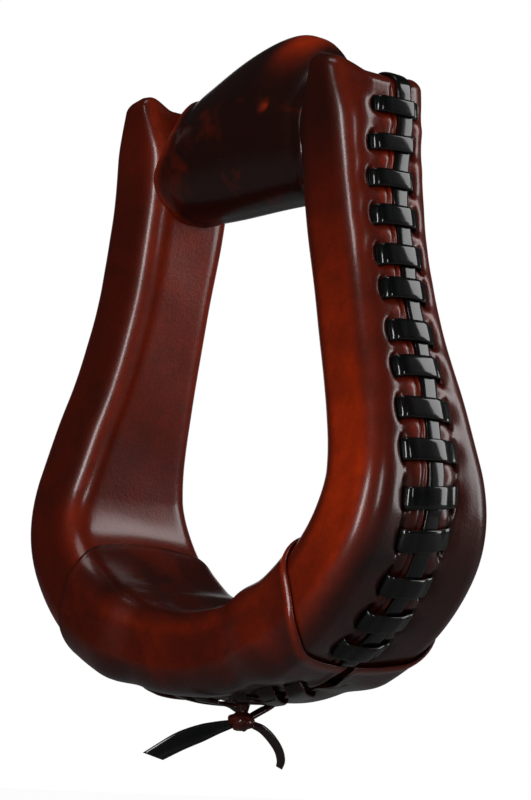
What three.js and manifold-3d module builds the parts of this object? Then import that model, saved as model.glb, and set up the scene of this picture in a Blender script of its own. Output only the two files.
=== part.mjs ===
// Leather laced stirrup: a bent wooden bow with a neck block bolted between its branches,
// dressed in leather that is laced along the outer faces and under the tread.
// Millimetres, +Z up, +X across the stirrup, -Y to the front. The origin is the middle of the
// neck's flat underside, where the loop of stirrup leather carries the whole stirrup.

import * as THREE from 'three';
import { mergeVertices } from 'three/addons/utils/BufferGeometryUtils.js';
import Module from 'manifold-3d';

const wasm = await Module();
wasm.setup();

// Bow: its middle line is a chain of arcs from the centre of the tread to a branch's top
const treadFlatLength = 29;
const treadTurn = 16; // degrees, as the other turns
const cornerLength = 45;
const cornerTurn = 41;
const bendLength = 27; // tight bend at the widest place
const bendTurn = 43;
const footLength = 25;
const footTurn = 9;
const branchTurn = -16; // the branch eases back towards upright
const neckHeightAboveTread = 144.5; // underside of the neck above the bow's middle line
const branchAboveNeck = 40.4; // top of the wood above the neck's underside
const woodThickness = 19;
const woodHalfDepths = [24.2, 26.7, 26.2, 19.2, 14.7, 14.7, 16.2]; // at even steps up the bow
const woodEdgeRadius = 5.7;

// Leather and fits
const branchLeather = 3;
const treadLeather = 3;
const neckLeather = 3;
const seat = 0.3; // gap between pieces that lie on each other
const topRounding = 1; // edge of the wood at the top of a branch
const topPlay = 0.8; // the wood ends this far under the leather of the top

// Branch tops: the inner side leans outward under the sleeve, and the top dips behind a peak
// at the front corner
const topRun = 24; // length of branch that is shaped
const topLean = 8.5; // of the inner face, at the very top
const topPinch = 4; // the front of the outer face bends in towards the peak
const topDip = 4; // middle of the top below the peak
const topFall = 3; // further down at the outer face
const backPeak = 0.4; // height of the back corner, as a share of the front one's
const frontPeakFrom = 0.45; // where the front peak begins, as a share of the half depth
const backPeakFrom = 0.3;

// Lacing
const laceWidth = 5.5;
const laceThickness = 1.2;
const laceSlack = 0.4; // free space on each side of a lace
const stitchCount = 15;
const firstStitch = 50.4; // along the bow, from the centre of the tread
const firstPitch = 10.14;
const pitchGrowth = 0.298; // each stitch is this much longer than the one below it
const stitchReach = 10.5; // from the seam to the slots
const seamForward = 1.5; // the seam lies this far in front of the middle of the branch
const seamGap = 2.4;
const runnerWidth = 4.5;
const runnerFold = 7; // length of the runner that lies on the branch top

// Neck
const neckHalfDepth = 17.5;
const neckEndHeight = 42.8;
const neckCrown = 15; // rise of the crest in the middle of the neck
const neckSkew = 0.6; // the crest stands higher on the right and lower on the left
const neckTaper = 0.35; // how much fuller the lower half of the section is
const neckEndNarrowing = 0.08;
const crestSetback = 5;
const neckLap = 4.4; // how far the leather sleeve laps onto the branches, over their lean
const blockEndHeight = 33.7;
const blockCrown = 18.5;
const neckSeamHeight = 24;
const neckSeamGap = 1.2;

// Through bolt
const boltHeight = 18; // above the neck's underside
const boltRadius = 3.2;
const boltHeadRadius = 7;
const boltHeadHeight = 4;
const boltPlay = 0.4;
const washerRadius = 8.5;
const washerThickness = 1.5;
const nutFlats = 11;
const nutHeight = 5;
const boltEnd = 1.2; // thread that stands out of the nut
const pocketDepth = 9;
const pocketPlay = 0.6;

// Tread cover
const coverStart = 34; // lower end of a branch cover, under the tread cover
const stepRamp = 20; // length over which the tread cover climbs onto the branch covers
const treadEdge = 58.3; // end of the tread cover on the front and back faces
const treadEdgeSweep = 14.7; // it reaches further up inside and less far outside
const treadEdgeRound = 0.5;
const treadSkive = 0.5; // the leather thins to this share of its thickness towards its ends
const skiveStart = 24;
const skiveEnd = 50;
const treadSeamGap = 7;
const treadStitches = [8, 19, 30]; // along the bow, each way from the centre
const treadStitchReach = 9;
const treadLaceTuck = 2; // a tread lace starts this far from the seam, under the leather

// Knot of the tread laces, right of the middle and a little to the front
const knotX = 3.6;
const knotY = -1;
const knotDrop = 6.7; // its middle below the tread cover
const knotHalfSizes = [3.6, 3.9, 3.5];
const knotNeckRadius = 2.6;
const wrapRadius = 3.3;
const wrapThickness = 1.1;
const laceAtKnot = 3; // width of a lace where it is drawn into the knot
const tailAtKnot = 2.2;
const longTailWidth = 4.6;
const shortTailWidth = 2.8;
// Routes of the free ends from the middle of the knot, drawn by eye
const longTailRoute = [
  [-3.1, -3, -1.9],
  [-5.6, -5.3, -3.6],
  [-9.2, -8.9, -5.7],
  [-14, -13.7, -8.4],
  [-21.4, -20.7, -12.4],
];
const shortTailRoute = [
  [3.4, 3.8, -1.4],
  [4.6, 5.2, -2.2],
  [6, 7.6, -4.9],
  [7.3, 9.8, -8.4],
  [7.6, 10.8, -11.7],
  [7, 10.7, -14.2],
];

// Mesh steps
const longestStep = 15;
const sharpestStep = 9; // degrees
const shortestStep = 1;
const cornerSteps = 3;
const neckSides = 22;
const neckSteps = 10;
const barSteps = 3; // each side of the runner
const hiddenSteps = 6;
const treadRunSteps = 4;
const runnerStep = 5;
const topSteps = 5;
const capSteps = 3;
const lidShares = [0.6, 0.25]; // smaller rings on the flat top of a branch
const roundSides = 24;
const knotSides = 8;
const treadSteps = 21; // odd, so that a flat facet crosses the centre
const treadFaceSteps = 2;
const treadTopSteps = 4;
const overcut = 2; // how far a cutter stands past what it cuts

const degrees = Math.PI / 180;
const bowArcs = [
  { length: treadFlatLength, turn: treadTurn },
  { length: cornerLength, turn: cornerTurn },
  { length: bendLength, turn: bendTurn },
  { length: footLength, turn: footTurn },
];
bowArcs.push({ length: branchLength(), turn: branchTurn });
const bowLength = bowArcs.reduce((sum, arc) => sum + arc.length, 0);
const laceRoom = laceThickness + 2 * laceSlack - seat; // space for the hidden lace runs
const branchTop = bowLength + seat + branchLeather; // top of a covered branch, along the bow
const coverRounding = topRounding + seat + branchLeather;
const seamLine = -seamForward;
const coveredHalf = (woodThickness + laceRoom) / 2 + seat + branchLeather;
const stitches = Array.from({ length: stitchCount }, (unused, k) => (
  firstStitch + firstPitch * k + pitchGrowth * k * (k - 1) / 2
));

// Length of the last arc that brings a branch up to its height
function branchLength() {
  let heading = 0;
  let height = 0;
  for (const { length, turn } of bowArcs) {
    const half = turn * degrees / 2;
    height += length * Math.sin(heading + half) * Math.sin(half) / half;
    heading += 2 * half;
  }
  const half = branchTurn * degrees / 2;
  const left = neckHeightAboveTread + branchAboveNeck - height;
  return left / (Math.sin(heading + half) * Math.sin(half) / half);
}

// Point, outward normal and heading of the bow's middle line at a distance along it
function bowAt(along) {
  let left = Math.abs(along);
  let heading = 0;
  let x = 0;
  let z = 0;
  for (const arc of bowArcs) {
    const part = Math.min(left, arc.length);
    const turn = arc.turn * degrees * part / arc.length;
    const chord = turn === 0 ? part : part * Math.sin(turn / 2) / (turn / 2);
    x += chord * Math.cos(heading + turn / 2);
    z += chord * Math.sin(heading + turn / 2);
    heading += turn;
    left -= part;
  }
  x += left * Math.cos(heading);
  z += left * Math.sin(heading);
  const side = along < 0 ? -1 : 1;
  return { x: side * x, z, nx: side * Math.sin(heading), nz: -Math.cos(heading) };
}

// A place given along the bow, outward from its middle line, and across it. Near a branch's
// top it is lowered and leant first, so that wood, leather and lacing take the same shape
function place(along, out, across) {
  const depth = woodHalfDepths.at(-1);
  const front = THREE.MathUtils.smoothstep(-across / depth, frontPeakFrom, 1);
  const back = THREE.MathUtils.smoothstep(across / depth, backPeakFrom, 1);
  const outward = Math.max(0, out) / coveredHalf;
  const inward = Math.max(0, -out) / coveredHalf;
  const dip = topDip * (1 - front - backPeak * back) + topFall * outward;
  const lowered = Math.abs(along) - dip * shareOfTop(Math.abs(along));
  const lean = shareOfTop(lowered) * (topLean * inward - topPinch * front * outward);
  const p = bowAt(along < 0 ? -lowered : lowered);
  return new THREE.Vector3(
    p.x + (out + lean) * p.nx, across, p.z + (out + lean) * p.nz - neckHeightAboveTread,
  );
}

function shareOfTop(along) {
  return THREE.MathUtils.smoothstep(along, branchTop - topRun, branchTop);
}

// Smooth curve through values at even steps
function throughEven(values, fraction) {
  const last = values.length - 1;
  const at = THREE.MathUtils.clamp(fraction, 0, 1) * last;
  const i = Math.min(Math.floor(at), last - 1);
  const f = at - i;
  const before = values[Math.max(i - 1, 0)];
  const after = values[Math.min(i + 2, last)];
  const slopeA = (values[i + 1] - before) / 2;
  const slopeB = (after - values[i]) / 2;
  return (2 * f ** 3 - 3 * f ** 2 + 1) * values[i] + (f ** 3 - 2 * f ** 2 + f) * slopeA
    + (3 * f ** 2 - 2 * f ** 3) * values[i + 1] + (f ** 3 - f ** 2) * slopeB;
}

// Sections across the bow: reach inward, outward and to each side, and the corner radius
function woodSection(along) {
  return {
    inner: coveredHalf - branchLeather - seat,
    outer: coveredHalf - branchLeather - seat - laceRoom,
    depth: throughEven(woodHalfDepths, Math.abs(along) / bowLength),
    radius: woodEdgeRadius,
  };
}

function grown(section, by, moreOutward = 0) {
  return {
    inner: section.inner + by,
    outer: section.outer + by + moreOutward,
    depth: section.depth + by,
    radius: section.radius + by,
  };
}

const coverInside = (along) => grown(woodSection(along), seat, laceRoom);
const coverOutside = (along) => grown(coverInside(along), branchLeather);

function mixed(a, b, share) {
  const mix = (key) => THREE.MathUtils.lerp(a[key], b[key], share);
  return { inner: mix('inner'), outer: mix('outer'), depth: mix('depth'), radius: mix('radius') };
}

// The tread cover lies on the wood in the middle and on the branch covers at its ends
function treadInside(along) {
  const rampEnd = coverStart - 1;
  const share = THREE.MathUtils.smoothstep(Math.abs(along), rampEnd - stepRamp, rampEnd);
  return mixed(coverInside(along), grown(coverOutside(along), seat), share);
}

function treadOutside(along) {
  const skived = THREE.MathUtils.smoothstep(Math.abs(along), skiveStart, skiveEnd);
  return grown(treadInside(along), treadLeather * THREE.MathUtils.lerp(1, treadSkive, skived));
}

// How far out a section's outer face lies at a distance across it
function faceOut(section, across) {
  const past = Math.max(0, Math.abs(across) - (section.depth - section.radius));
  const r = section.radius;
  return section.outer - r + Math.sqrt(Math.max(0, r * r - past * past));
}

// Points round a section, counted from the middle of its outer face
function sectionRing(section) {
  const points = [];
  for (const [outward, sideways] of [[1, 1], [-1, 1], [-1, -1], [1, -1]]) {
    const reach = outward > 0 ? section.outer : section.inner;
    for (let k = 0; k <= cornerSteps; k++) {
      const step = outward * sideways > 0 ? k : cornerSteps - k;
      const angle = step / cornerSteps * Math.PI / 2;
      points.push([
        outward * (reach - section.radius + section.radius * Math.cos(angle)),
        sideways * (section.depth - section.radius + section.radius * Math.sin(angle)),
      ]);
    }
  }
  return points;
}

// Triangles to a geometry whose faces point outwards
function closedGeometry(points, triangles) {
  let volume = 0;
  for (const [a, b, c] of triangles) {
    volume += points[a].dot(new THREE.Vector3().crossVectors(points[b], points[c]));
  }
  const geometry = new THREE.BufferGeometry();
  const order = volume < 0 ? triangles.map(([a, b, c]) => [a, c, b]) : triangles;
  geometry.setAttribute('position', new THREE.Float32BufferAttribute(
    points.flatMap((p) => [p.x, p.y, p.z]), 3,
  ));
  geometry.setIndex(order.flat());
  geometry.computeVertexNormals();
  return geometry;
}

function quads(at, rows, columns, closedRound) {
  const triangles = [];
  const count = closedRound ? columns : columns - 1;
  for (let i = 0; i < rows - 1; i++) {
    for (let j = 0; j < count; j++) {
      const k = (j + 1) % columns;
      triangles.push([at(i, j), at(i, k), at(i + 1, k)], [at(i, j), at(i + 1, k), at(i + 1, j)]);
    }
  }
  return triangles;
}

// Solid through rings of points, each end closed from its middle
function loft(rings) {
  const columns = rings[0].length;
  const points = rings.flat();
  const at = (i, j) => i * columns + j;
  const triangles = quads(at, rings.length, columns, true);
  for (const [ring, row] of [[rings[0], 0], [rings.at(-1), rings.length - 1]]) {
    const middle = points.length;
    points.push(ring.reduce((sum, p) => sum.add(p), new THREE.Vector3()).divideScalar(columns));
    for (let j = 0; j < columns; j++) {
      const pair = [at(row, j), at(row, (j + 1) % columns)];
      triangles.push(row === 0 ? [middle, pair[1], pair[0]] : [middle, ...pair]);
    }
  }
  return closedGeometry(points, triangles);
}

function toSolid(geometry) {
  const bare = geometry.clone();
  bare.deleteAttribute('normal');
  bare.deleteAttribute('uv');
  const merged = mergeVertices(bare);
  return new wasm.Manifold(new wasm.Mesh({
    numProp: 3,
    vertProperties: new Float32Array(merged.attributes.position.array),
    triVerts: new Uint32Array(merged.index.array),
  }));
}

function toGeometry(solid) {
  const { vertProperties, triVerts, numProp } = solid.getMesh();
  const geometry = new THREE.BufferGeometry();
  const xyz = [];
  for (let i = 0; i < vertProperties.length; i += numProp) {
    xyz.push(...vertProperties.slice(i, i + 3));
  }
  geometry.setAttribute('position', new THREE.Float32BufferAttribute(xyz, 3));
  geometry.setIndex([...triVerts]);
  geometry.computeVertexNormals();
  return geometry;
}

function cut(geometry, cutters) {
  let solid = toSolid(geometry);
  for (const cutter of cutters) {
    solid = solid.subtract(toSolid(cutter));
  }
  return toGeometry(solid);
}

// The same piece on the other side of the stirrup
function mirrored(geometry) {
  const twin = geometry.clone();
  twin.scale(-1, 1, 1);
  const index = [...twin.index.array];
  for (let i = 0; i < index.length; i += 3) {
    [index[i + 1], index[i + 2]] = [index[i + 2], index[i + 1]];
  }
  twin.setIndex(index);
  twin.computeVertexNormals();
  return twin;
}

// Even stations between two distances, with finer steps where the bow bends more
function stationsBetween(from, to) {
  const marks = [];
  let start = 0;
  for (const arc of bowArcs) {
    const steps = Math.ceil(Math.max(arc.length / longestStep, Math.abs(arc.turn) / sharpestStep));
    for (let k = 0; k < steps; k++) {
      marks.push(start + arc.length * k / steps);
    }
    start += arc.length;
  }
  const shapedFrom = branchTop - topRun;
  const plain = marks.filter((mark) => mark < shapedFrom - shortestStep);
  const all = [...plain, ...evenly(shapedFrom, bowLength, topSteps)];
  const both = [...all.slice(1).map((mark) => -mark).reverse(), ...all];
  const inside = both.filter((mark) => mark > from + shortestStep && mark < to - shortestStep);
  return [from, ...inside, to];
}

// Ring of a branch, with points on its wide faces where the peaks of its top begin
function branchRing(section) {
  const ring = sectionRing(section);
  const half = ring.length / 2;
  const inFront = -frontPeakFrom * section.depth;
  const behind = backPeakFrom * section.depth;
  return [
    [section.outer, behind], ...ring.slice(0, half),
    [-section.inner, behind], [-section.inner, inFront], ...ring.slice(half),
    [section.outer, inFront],
  ];
}

function sectionRings(list) {
  return list.map(({ along, section, share = 1 }) => (
    branchRing(section).map(([out, across]) => place(along, out * share, across * share))
  ));
}

// Rings that round over the edge at the top of a branch, and smaller ones on its flat
function capAt(top, sectionAt, rounding) {
  const rings = Array.from({ length: capSteps }, (unused, k) => {
    const angle = (k + 1) / capSteps * Math.PI / 2;
    const inset = rounding * (1 - Math.cos(angle));
    return {
      along: top - rounding + rounding * Math.sin(angle),
      section: grown(sectionAt(top), -inset),
    };
  });
  return [...rings, ...lidShares.map((share) => ({ ...rings.at(-1), share }))];
}

function branchSweep(from, top, sectionAt, rounding) {
  const straight = stationsBetween(from, top - rounding);
  return loft(sectionRings([
    ...straight.map((along) => ({ along, section: sectionAt(along) })),
    ...capAt(top, sectionAt, rounding),
  ]));
}

// Block between two distances along, out and across, bent with the bow
function bentBlock([alongA, alongB], [outA, outB], [acrossA, acrossB]) {
  const corners = [[outA, acrossA], [outB, acrossA], [outB, acrossB], [outA, acrossB]];
  return loft([alongA, alongB].map((along) => (
    corners.map(([out, across]) => place(along, out, across))
  )));
}

// Directions square to a line of points in a plane, lengthened at its corners
function mitres(points) {
  const unit = (a, b) => {
    const length = Math.hypot(b[0] - a[0], b[1] - a[1]);
    return [(b[0] - a[0]) / length, (b[1] - a[1]) / length];
  };
  const last = points.length - 1;
  return points.map((p, i) => {
    const before = i > 0 ? unit(points[i - 1], p) : unit(p, points[1]);
    const after = i < last ? unit(p, points[i + 1]) : before;
    const sum = [before[0] + after[0], before[1] + after[1]];
    const length = Math.hypot(...sum);
    const spread = Math.max(length / 2, 1 / 2);
    return [-sum[1] / length / spread, sum[0] / length / spread];
  });
}

// Lace over the leather: each stop lies at a distance along the bow and across it, and says
// how far out from the bow's line the middle of the lace is
function laceAlong(stops) {
  const normals = mitres(stops.map(({ along, across, outAt }) => [across, outAt(along)]));
  const half = laceThickness / 2;
  return loft(stops.map(({ along, across, outAt, width = laceWidth }, i) => [
    [-1, 1], [1, 1], [1, -1], [-1, -1],
  ].map(([side, face]) => {
    const edge = along + side * width / 2;
    const out = outAt(edge) + face * half * normals[i][1];
    return place(edge, out, across + face * half * normals[i][0]);
  })));
}

function evenly(from, to, steps) {
  return Array.from({ length: steps + 1 }, (unused, k) => THREE.MathUtils.lerp(from, to, k / steps));
}

// Run of lace between two places, without the first of them
function laceRun(from, to, steps, outAt) {
  return evenly(0, 1, steps).slice(1).map((share) => {
    const across = THREE.MathUtils.lerp(from.across, to.across, share);
    return {
      along: THREE.MathUtils.lerp(from.along, to.along, share),
      across,
      outAt: (along) => outAt(along, across),
    };
  });
}

const onWood = (along, across) => (
  faceOut(woodSection(along), across) + laceSlack + laceThickness / 2
);
const onBranchCover = (along, across) => (
  faceOut(coverOutside(along), across) + laceSlack + laceThickness / 2
);
const onTreadCover = (along, across) => (
  faceOut(treadOutside(along), across) + laceSlack + laceThickness / 2
);

// Round bar along X on the bolt's line
function rod(radius, fromX, toX, sides = roundSides) {
  const bar = new THREE.CylinderGeometry(radius, radius, toX - fromX, sides);
  bar.rotateZ(Math.PI / 2);
  bar.translate((fromX + toX) / 2, 0, boltHeight);
  return bar;
}

// Sideways distance of a face of a branch at a height above the neck's underside
function faceAtHeight(height, outAt) {
  let low = bowLength / 2;
  let high = branchTop;
  while (high - low > seat / 100) {
    const middle = (low + high) / 2;
    if (place(middle, outAt(middle), 0).z < height) {
      low = middle;
    } else {
      high = middle;
    }
  }
  return place(low, outAt(low), 0).x;
}

const woodInnerFace = (height) => faceAtHeight(height, (along) => -woodSection(along).inner);
const woodOuterFace = (height) => faceAtHeight(height, (along) => woodSection(along).outer);
const neckReach = place(branchTop - topRun, -coverOutside(bowLength).inner, 0).x + neckLap;
const pocketFloor = woodOuterFace(boltHeight + washerRadius) - pocketDepth;
const boltBore = () => rod(boltRadius + boltPlay, -2 * pocketFloor, 2 * pocketFloor);

function woodFrame() {
  const half = stationsBetween(0, bowLength - topRounding);
  const right = [
    ...half.map((along) => ({ along, section: woodSection(along) })),
    ...capAt(bowLength, woodSection, topRounding),
  ];
  const left = right.slice(1).reverse().map((ring) => ({ ...ring, along: -ring.along }));
  const pocket = rod(washerRadius + pocketPlay, pocketFloor, 2 * pocketFloor);
  return cut(loft(sectionRings([...left, ...right])), [boltBore(), pocket, mirrored(pocket)]);
}

// Ring of the neck's section at a share of its half length
function neckRing(share, shape) {
  const top = shape.endHeight + shape.crown * (1 - share * share) * (1 + neckSkew * share);
  const low = Math.cos(Math.PI / neckSides);
  const narrowing = 1 - neckEndNarrowing * share ** 4;
  return Array.from({ length: neckSides }, (unused, k) => {
    const angle = (k + 0.5) / neckSides * 2 * Math.PI;
    const height = shape.base + (top - shape.base) * (low - Math.cos(angle)) / (2 * low);
    const lean = crestSetback * (height / (neckEndHeight + neckCrown)) ** 2;
    const across = shape.halfDepth * narrowing * Math.sin(angle) * (1 + neckTaper * Math.cos(angle));
    return new THREE.Vector3(share * shape.reachAt(height), lean - across, height);
  });
}

function neckLoft(shape) {
  return loft(evenly(-1, 1, neckSteps).map((share) => neckRing(share, shape)));
}

function neckShape(inset, extraReach) {
  return {
    base: inset,
    endHeight: neckEndHeight - inset,
    crown: neckCrown,
    halfDepth: neckHalfDepth - inset,
    reachAt: () => neckReach + extraReach,
  };
}

// The block reaches just into the wood of the branches, which is then cut from it
function blockShape(clearance) {
  return {
    base: neckLeather + seat - clearance,
    endHeight: neckLeather + blockEndHeight + clearance,
    crown: blockCrown,
    halfDepth: neckHalfDepth - neckLeather - seat + clearance,
    reachAt: (height) => woodInnerFace(height) + overcut,
  };
}

function neckBlock() {
  const room = toSolid(neckLoft(neckShape(neckLeather + seat, overcut)));
  const wood = branchSweep(
    coverStart, bowLength + seat, (along) => grown(woodSection(along), seat), topRounding + seat,
  );
  const block = toGeometry(toSolid(neckLoft(blockShape(0))).intersect(room));
  return cut(block, [wood, mirrored(wood), boltBore()]);
}

function coveredBranch(clearance) {
  return branchSweep(
    coverStart,
    branchTop + clearance,
    (along) => grown(coverOutside(along), clearance),
    coverRounding + clearance,
  );
}

function neckCover() {
  const branch = coveredBranch(seat);
  const seam = new THREE.BoxGeometry(3 * neckReach, neckHalfDepth, neckSeamGap);
  seam.translate(0, neckHalfDepth, neckSeamHeight);
  return cut(neckLoft(neckShape(0, 0)), [
    neckLoft(neckShape(neckLeather, overcut)), branch, mirrored(branch), seam,
  ]);
}

// Slots that a lace passes through, at both ends of each stitch
function slots(places, middle, reach, insideAt, outsideAt) {
  const halfLong = laceWidth / 2 + laceSlack;
  const halfWide = laceThickness / 2 + laceSlack;
  return places.flatMap((along) => [middle - reach, middle + reach].map((across) => bentBlock(
    [along - halfLong, along + halfLong],
    [
      faceOut(insideAt(along), Math.abs(across) + halfWide) - overcut,
      faceOut(outsideAt(along), across) + overcut,
    ],
    [across - halfWide, across + halfWide],
  )));
}

// Leather of one branch, open along the seam on its outer face
function branchCover(side) {
  const inside = branchSweep(
    coverStart - overcut, bowLength + topPlay, coverInside, topRounding + seat,
  );
  const block = neckLoft(blockShape(seat));
  const seam = loft(stationsBetween(coverStart - overcut, bowLength - branchLeather).map((along) => {
    const low = coverInside(along).outer - overcut;
    const high = coverOutside(along).outer + overcut;
    return [[low, -1], [high, -1], [high, 1], [low, 1]].map(([out, side]) => (
      place(along, out, seamLine + side * seamGap / 2)
    ));
  }));
  const cover = cut(coveredBranch(0), [
    inside,
    seam,
    side > 0 ? block : mirrored(block),
    ...slots(stitches, seamLine, stitchReach, coverInside, coverOutside),
  ]);
  return side > 0 ? cover : mirrored(cover);
}

// The whipped lace: bars that show over seam and runner, slanted returns under the leather
function branchLacing() {
  const front = seamLine - stitchReach;
  const back = seamLine + stitchReach;
  const runnerEdge = runnerWidth / 2 + laceSlack;
  const climb = laceThickness + laceSlack;
  const overRunner = (along, across) => onBranchCover(along, across) + climb;
  const stop = (along, across, outAt) => ({ along, across, outAt: (at) => outAt(at, across) });
  const first = stop(firstStitch - laceWidth, 0, onWood);
  const stops = [first, ...laceRun(first, { along: firstStitch, across: front }, hiddenSteps, onWood)];
  stitches.forEach((along, i) => {
    const shown = [
      ...evenly(front, seamLine - runnerEdge - climb, barSteps).map((y) => [y, onBranchCover]),
      [seamLine - runnerEdge, overRunner],
      [seamLine + runnerEdge, overRunner],
      ...evenly(seamLine + runnerEdge + climb, back, barSteps).map((y) => [y, onBranchCover]),
    ];
    stops.push(...shown.map(([across, outAt]) => stop(along, across, outAt)));
    stops.push(stop(along, back, onWood));
    const isLast = i === stitches.length - 1;
    const next = isLast ? { along: along + laceWidth, across: 0 } : { along: stitches[i + 1], across: front };
    stops.push(...laceRun({ along, across: back }, next, hiddenSteps, onWood));
  });
  return laceAlong(stops);
}

// Strip along the seam, under the bars, turned over the branch top
function runner() {
  const lift = laceSlack + laceThickness / 2;
  const start = treadEdge - treadEdgeSweep + 2 * laceSlack;
  const straight = branchTop - coverRounding;
  const face = coverOutside(branchTop).outer;
  const bend = coverRounding + lift;
  const path = evenly(start, straight, Math.ceil((straight - start) / runnerStep)).map((along) => (
    [along, coverOutside(along).outer + lift]
  ));
  for (const angle of evenly(0, Math.PI / 2, capSteps).slice(1)) {
    path.push([straight + bend * Math.sin(angle), face - coverRounding + bend * Math.cos(angle)]);
  }
  path.push([branchTop + lift, face - coverRounding - runnerFold]);
  const normals = mitres(path);
  return loft(path.map(([along, out], i) => [[1, 1], [-1, 1], [-1, -1], [1, -1]].map(([side, face]) => (
    place(
      along + face * laceThickness / 2 * normals[i][0],
      out + face * laceThickness / 2 * normals[i][1],
      seamLine + side * runnerWidth / 2,
    )
  ))));
}

// Open section of the tread cover, from one lip of its seam round to the other
function treadRing(section) {
  const ring = sectionRing(section);
  const half = ring.length / 2;
  const flat = section.depth - section.radius;
  const under = evenly(treadSeamGap / 2, flat, treadFaceSteps).slice(0, -1);
  const over = evenly(flat, -flat, treadTopSteps).slice(1, -1);
  return [
    ...under.map((across) => [section.outer, across]),
    ...ring.slice(0, half),
    ...over.map((across) => [-section.inner, across]),
    ...ring.slice(half),
    ...under.map((across) => [section.outer, -across]).reverse(),
  ];
}

// Where the tread cover ends, along the bow, for a place round its section
function treadEnd([out, across], section) {
  const outward = out / (out > 0 ? section.outer : section.inner);
  const sideways = across / section.depth;
  return treadEdge - treadEdgeSweep * outward * (1 - treadEdgeRound * sideways * sideways);
}

function treadCover() {
  const reference = treadOutside(treadEdge);
  const ends = treadRing(reference).map((spot) => treadEnd(spot, reference));
  const columns = ends.length;
  const rows = evenly(-1, 1, treadSteps);
  const skin = (share, sectionAt) => ends.map((end, j) => {
    const along = share * end;
    const [out, across] = treadRing(sectionAt(along))[j];
    return place(along, out, across);
  });
  const points = rows.flatMap((share) => [
    ...skin(share, treadOutside), ...skin(share, treadInside).reverse(),
  ]);
  const at = (i, j) => i * 2 * columns + j;
  const inner = (i, j) => at(i, 2 * columns - 1 - j);
  const triangles = quads(at, rows.length, 2 * columns, true);
  const last = rows.length - 1;
  for (let j = 0; j < columns - 1; j++) {
    triangles.push([at(0, j + 1), at(0, j), inner(0, j)], [at(0, j + 1), inner(0, j), inner(0, j + 1)]);
    triangles.push([at(last, j), at(last, j + 1), inner(last, j + 1)]);
    triangles.push([at(last, j), inner(last, j + 1), inner(last, j)]);
  }
  const places = [...treadStitches.map((along) => -along), ...treadStitches];
  return cut(
    closedGeometry(points, triangles),
    slots(places, 0, treadStitchReach, treadInside, treadOutside),
  );
}

// Half of the tread lacing: the lace zigzags inwards from its slots and ends at the knot
function treadLace(side) {
  let from = { along: treadStitches.at(-1), across: -treadLaceTuck };
  const stops = [];
  const turnOnto = (outAt) => {
    const { along, across } = from;
    stops.push({ along, across, outAt: (at) => outAt(at, across) });
  };
  const go = (along, across, outAt) => {
    stops.push(...laceRun(from, { along, across }, treadRunSteps, outAt));
    from = { along, across };
  };
  turnOnto(onWood);
  [...treadStitches].reverse().forEach((along, i, order) => {
    go(along, -treadStitchReach, onWood);
    turnOnto(onTreadCover);
    if (i < order.length - 1) {
      go(order[i + 1], treadStitchReach, onTreadCover);
      turnOnto(onWood);
    }
  });
  const knotAlong = side * knotX + laceAtKnot / 2 + laceSlack;
  const towardKnot = laceRun(
    from,
    { along: knotAlong, across: knotY - knotNeckRadius - laceSlack },
    treadRunSteps,
    onTreadCover,
  );
  stops.push(...towardKnot.map((stop, i) => ({
    ...stop,
    width: THREE.MathUtils.lerp(laceWidth, laceAtKnot, (i + 1) / treadRunSteps),
  })));
  const lace = laceAlong(stops);
  return side > 0 ? lace : mirrored(lace);
}

const knotCentre = () => {
  const under = place(knotX, treadOutside(knotX).outer, 0).z;
  return new THREE.Vector3(knotX, knotY, under - knotDrop);
};

// Knot of both laces: a tight lump with two turns round it and a narrow neck up to the seam
function knot() {
  const lump = new THREE.SphereGeometry(1, 2 * knotSides, knotSides);
  lump.scale(...knotHalfSizes);
  const turns = [[1, 1], [-1, 1]].map(([a, b]) => {
    const turn = new THREE.TorusGeometry(wrapRadius, wrapThickness, knotSides / 2, 2 * knotSides);
    turn.lookAt(new THREE.Vector3(a, b, 1));
    return turn;
  });
  const neckLength = knotDrop - laceSlack;
  const neck = new THREE.CylinderGeometry(knotNeckRadius, knotNeckRadius, neckLength, knotSides);
  neck.rotateX(Math.PI / 2);
  neck.translate(0, 0, neckLength / 2);
  let solid = toSolid(lump);
  for (const piece of [...turns, neck]) {
    solid = solid.add(toSolid(piece));
  }
  const geometry = toGeometry(solid);
  geometry.translate(...knotCentre());
  return geometry;
}

// Free end of a lace, from the knot outwards, with its flat side to the front and right
function tail(route, width) {
  const curve = new THREE.CatmullRomCurve3(route.map((p) => new THREE.Vector3(...p).add(knotCentre())));
  const facing = new THREE.Vector3(1, -1, 0);
  return loft(evenly(0, 1, 2 * route.length).map((share) => {
    const middle = curve.getPoint(share);
    const heading = curve.getTangent(share);
    const wide = new THREE.Vector3().crossVectors(facing, heading).normalize();
    const thick = new THREE.Vector3().crossVectors(wide, heading).normalize();
    const half = THREE.MathUtils.lerp(tailAtKnot, width, Math.min(1, 3 * share)) / 2;
    return [[1, 1], [-1, 1], [-1, -1], [1, -1]].map(([w, t]) => (
      middle.clone().addScaledVector(wide, w * half).addScaledVector(thick, t * laceThickness / 2)
    ));
  }));
}

function boltAndHead() {
  const under = pocketFloor + 2 * seat + washerThickness;
  const shank = rod(boltRadius, -under - seat, under + nutHeight + boltEnd);
  const head = rod(boltHeadRadius, -under - boltHeadHeight, -under);
  return toGeometry(toSolid(shank).add(toSolid(head)));
}

function washer() {
  const start = pocketFloor + seat;
  return cut(rod(washerRadius, start, start + washerThickness), [boltBore()]);
}

function nut() {
  const start = pocketFloor + 2 * seat + washerThickness;
  const cornerRadius = nutFlats / 2 / Math.cos(Math.PI / 6);
  return cut(rod(cornerRadius, start, start + nutHeight, 6), [boltBore()]);
}

const group = new THREE.Group();
group.name = 'leather_laced_stirrup';

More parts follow.
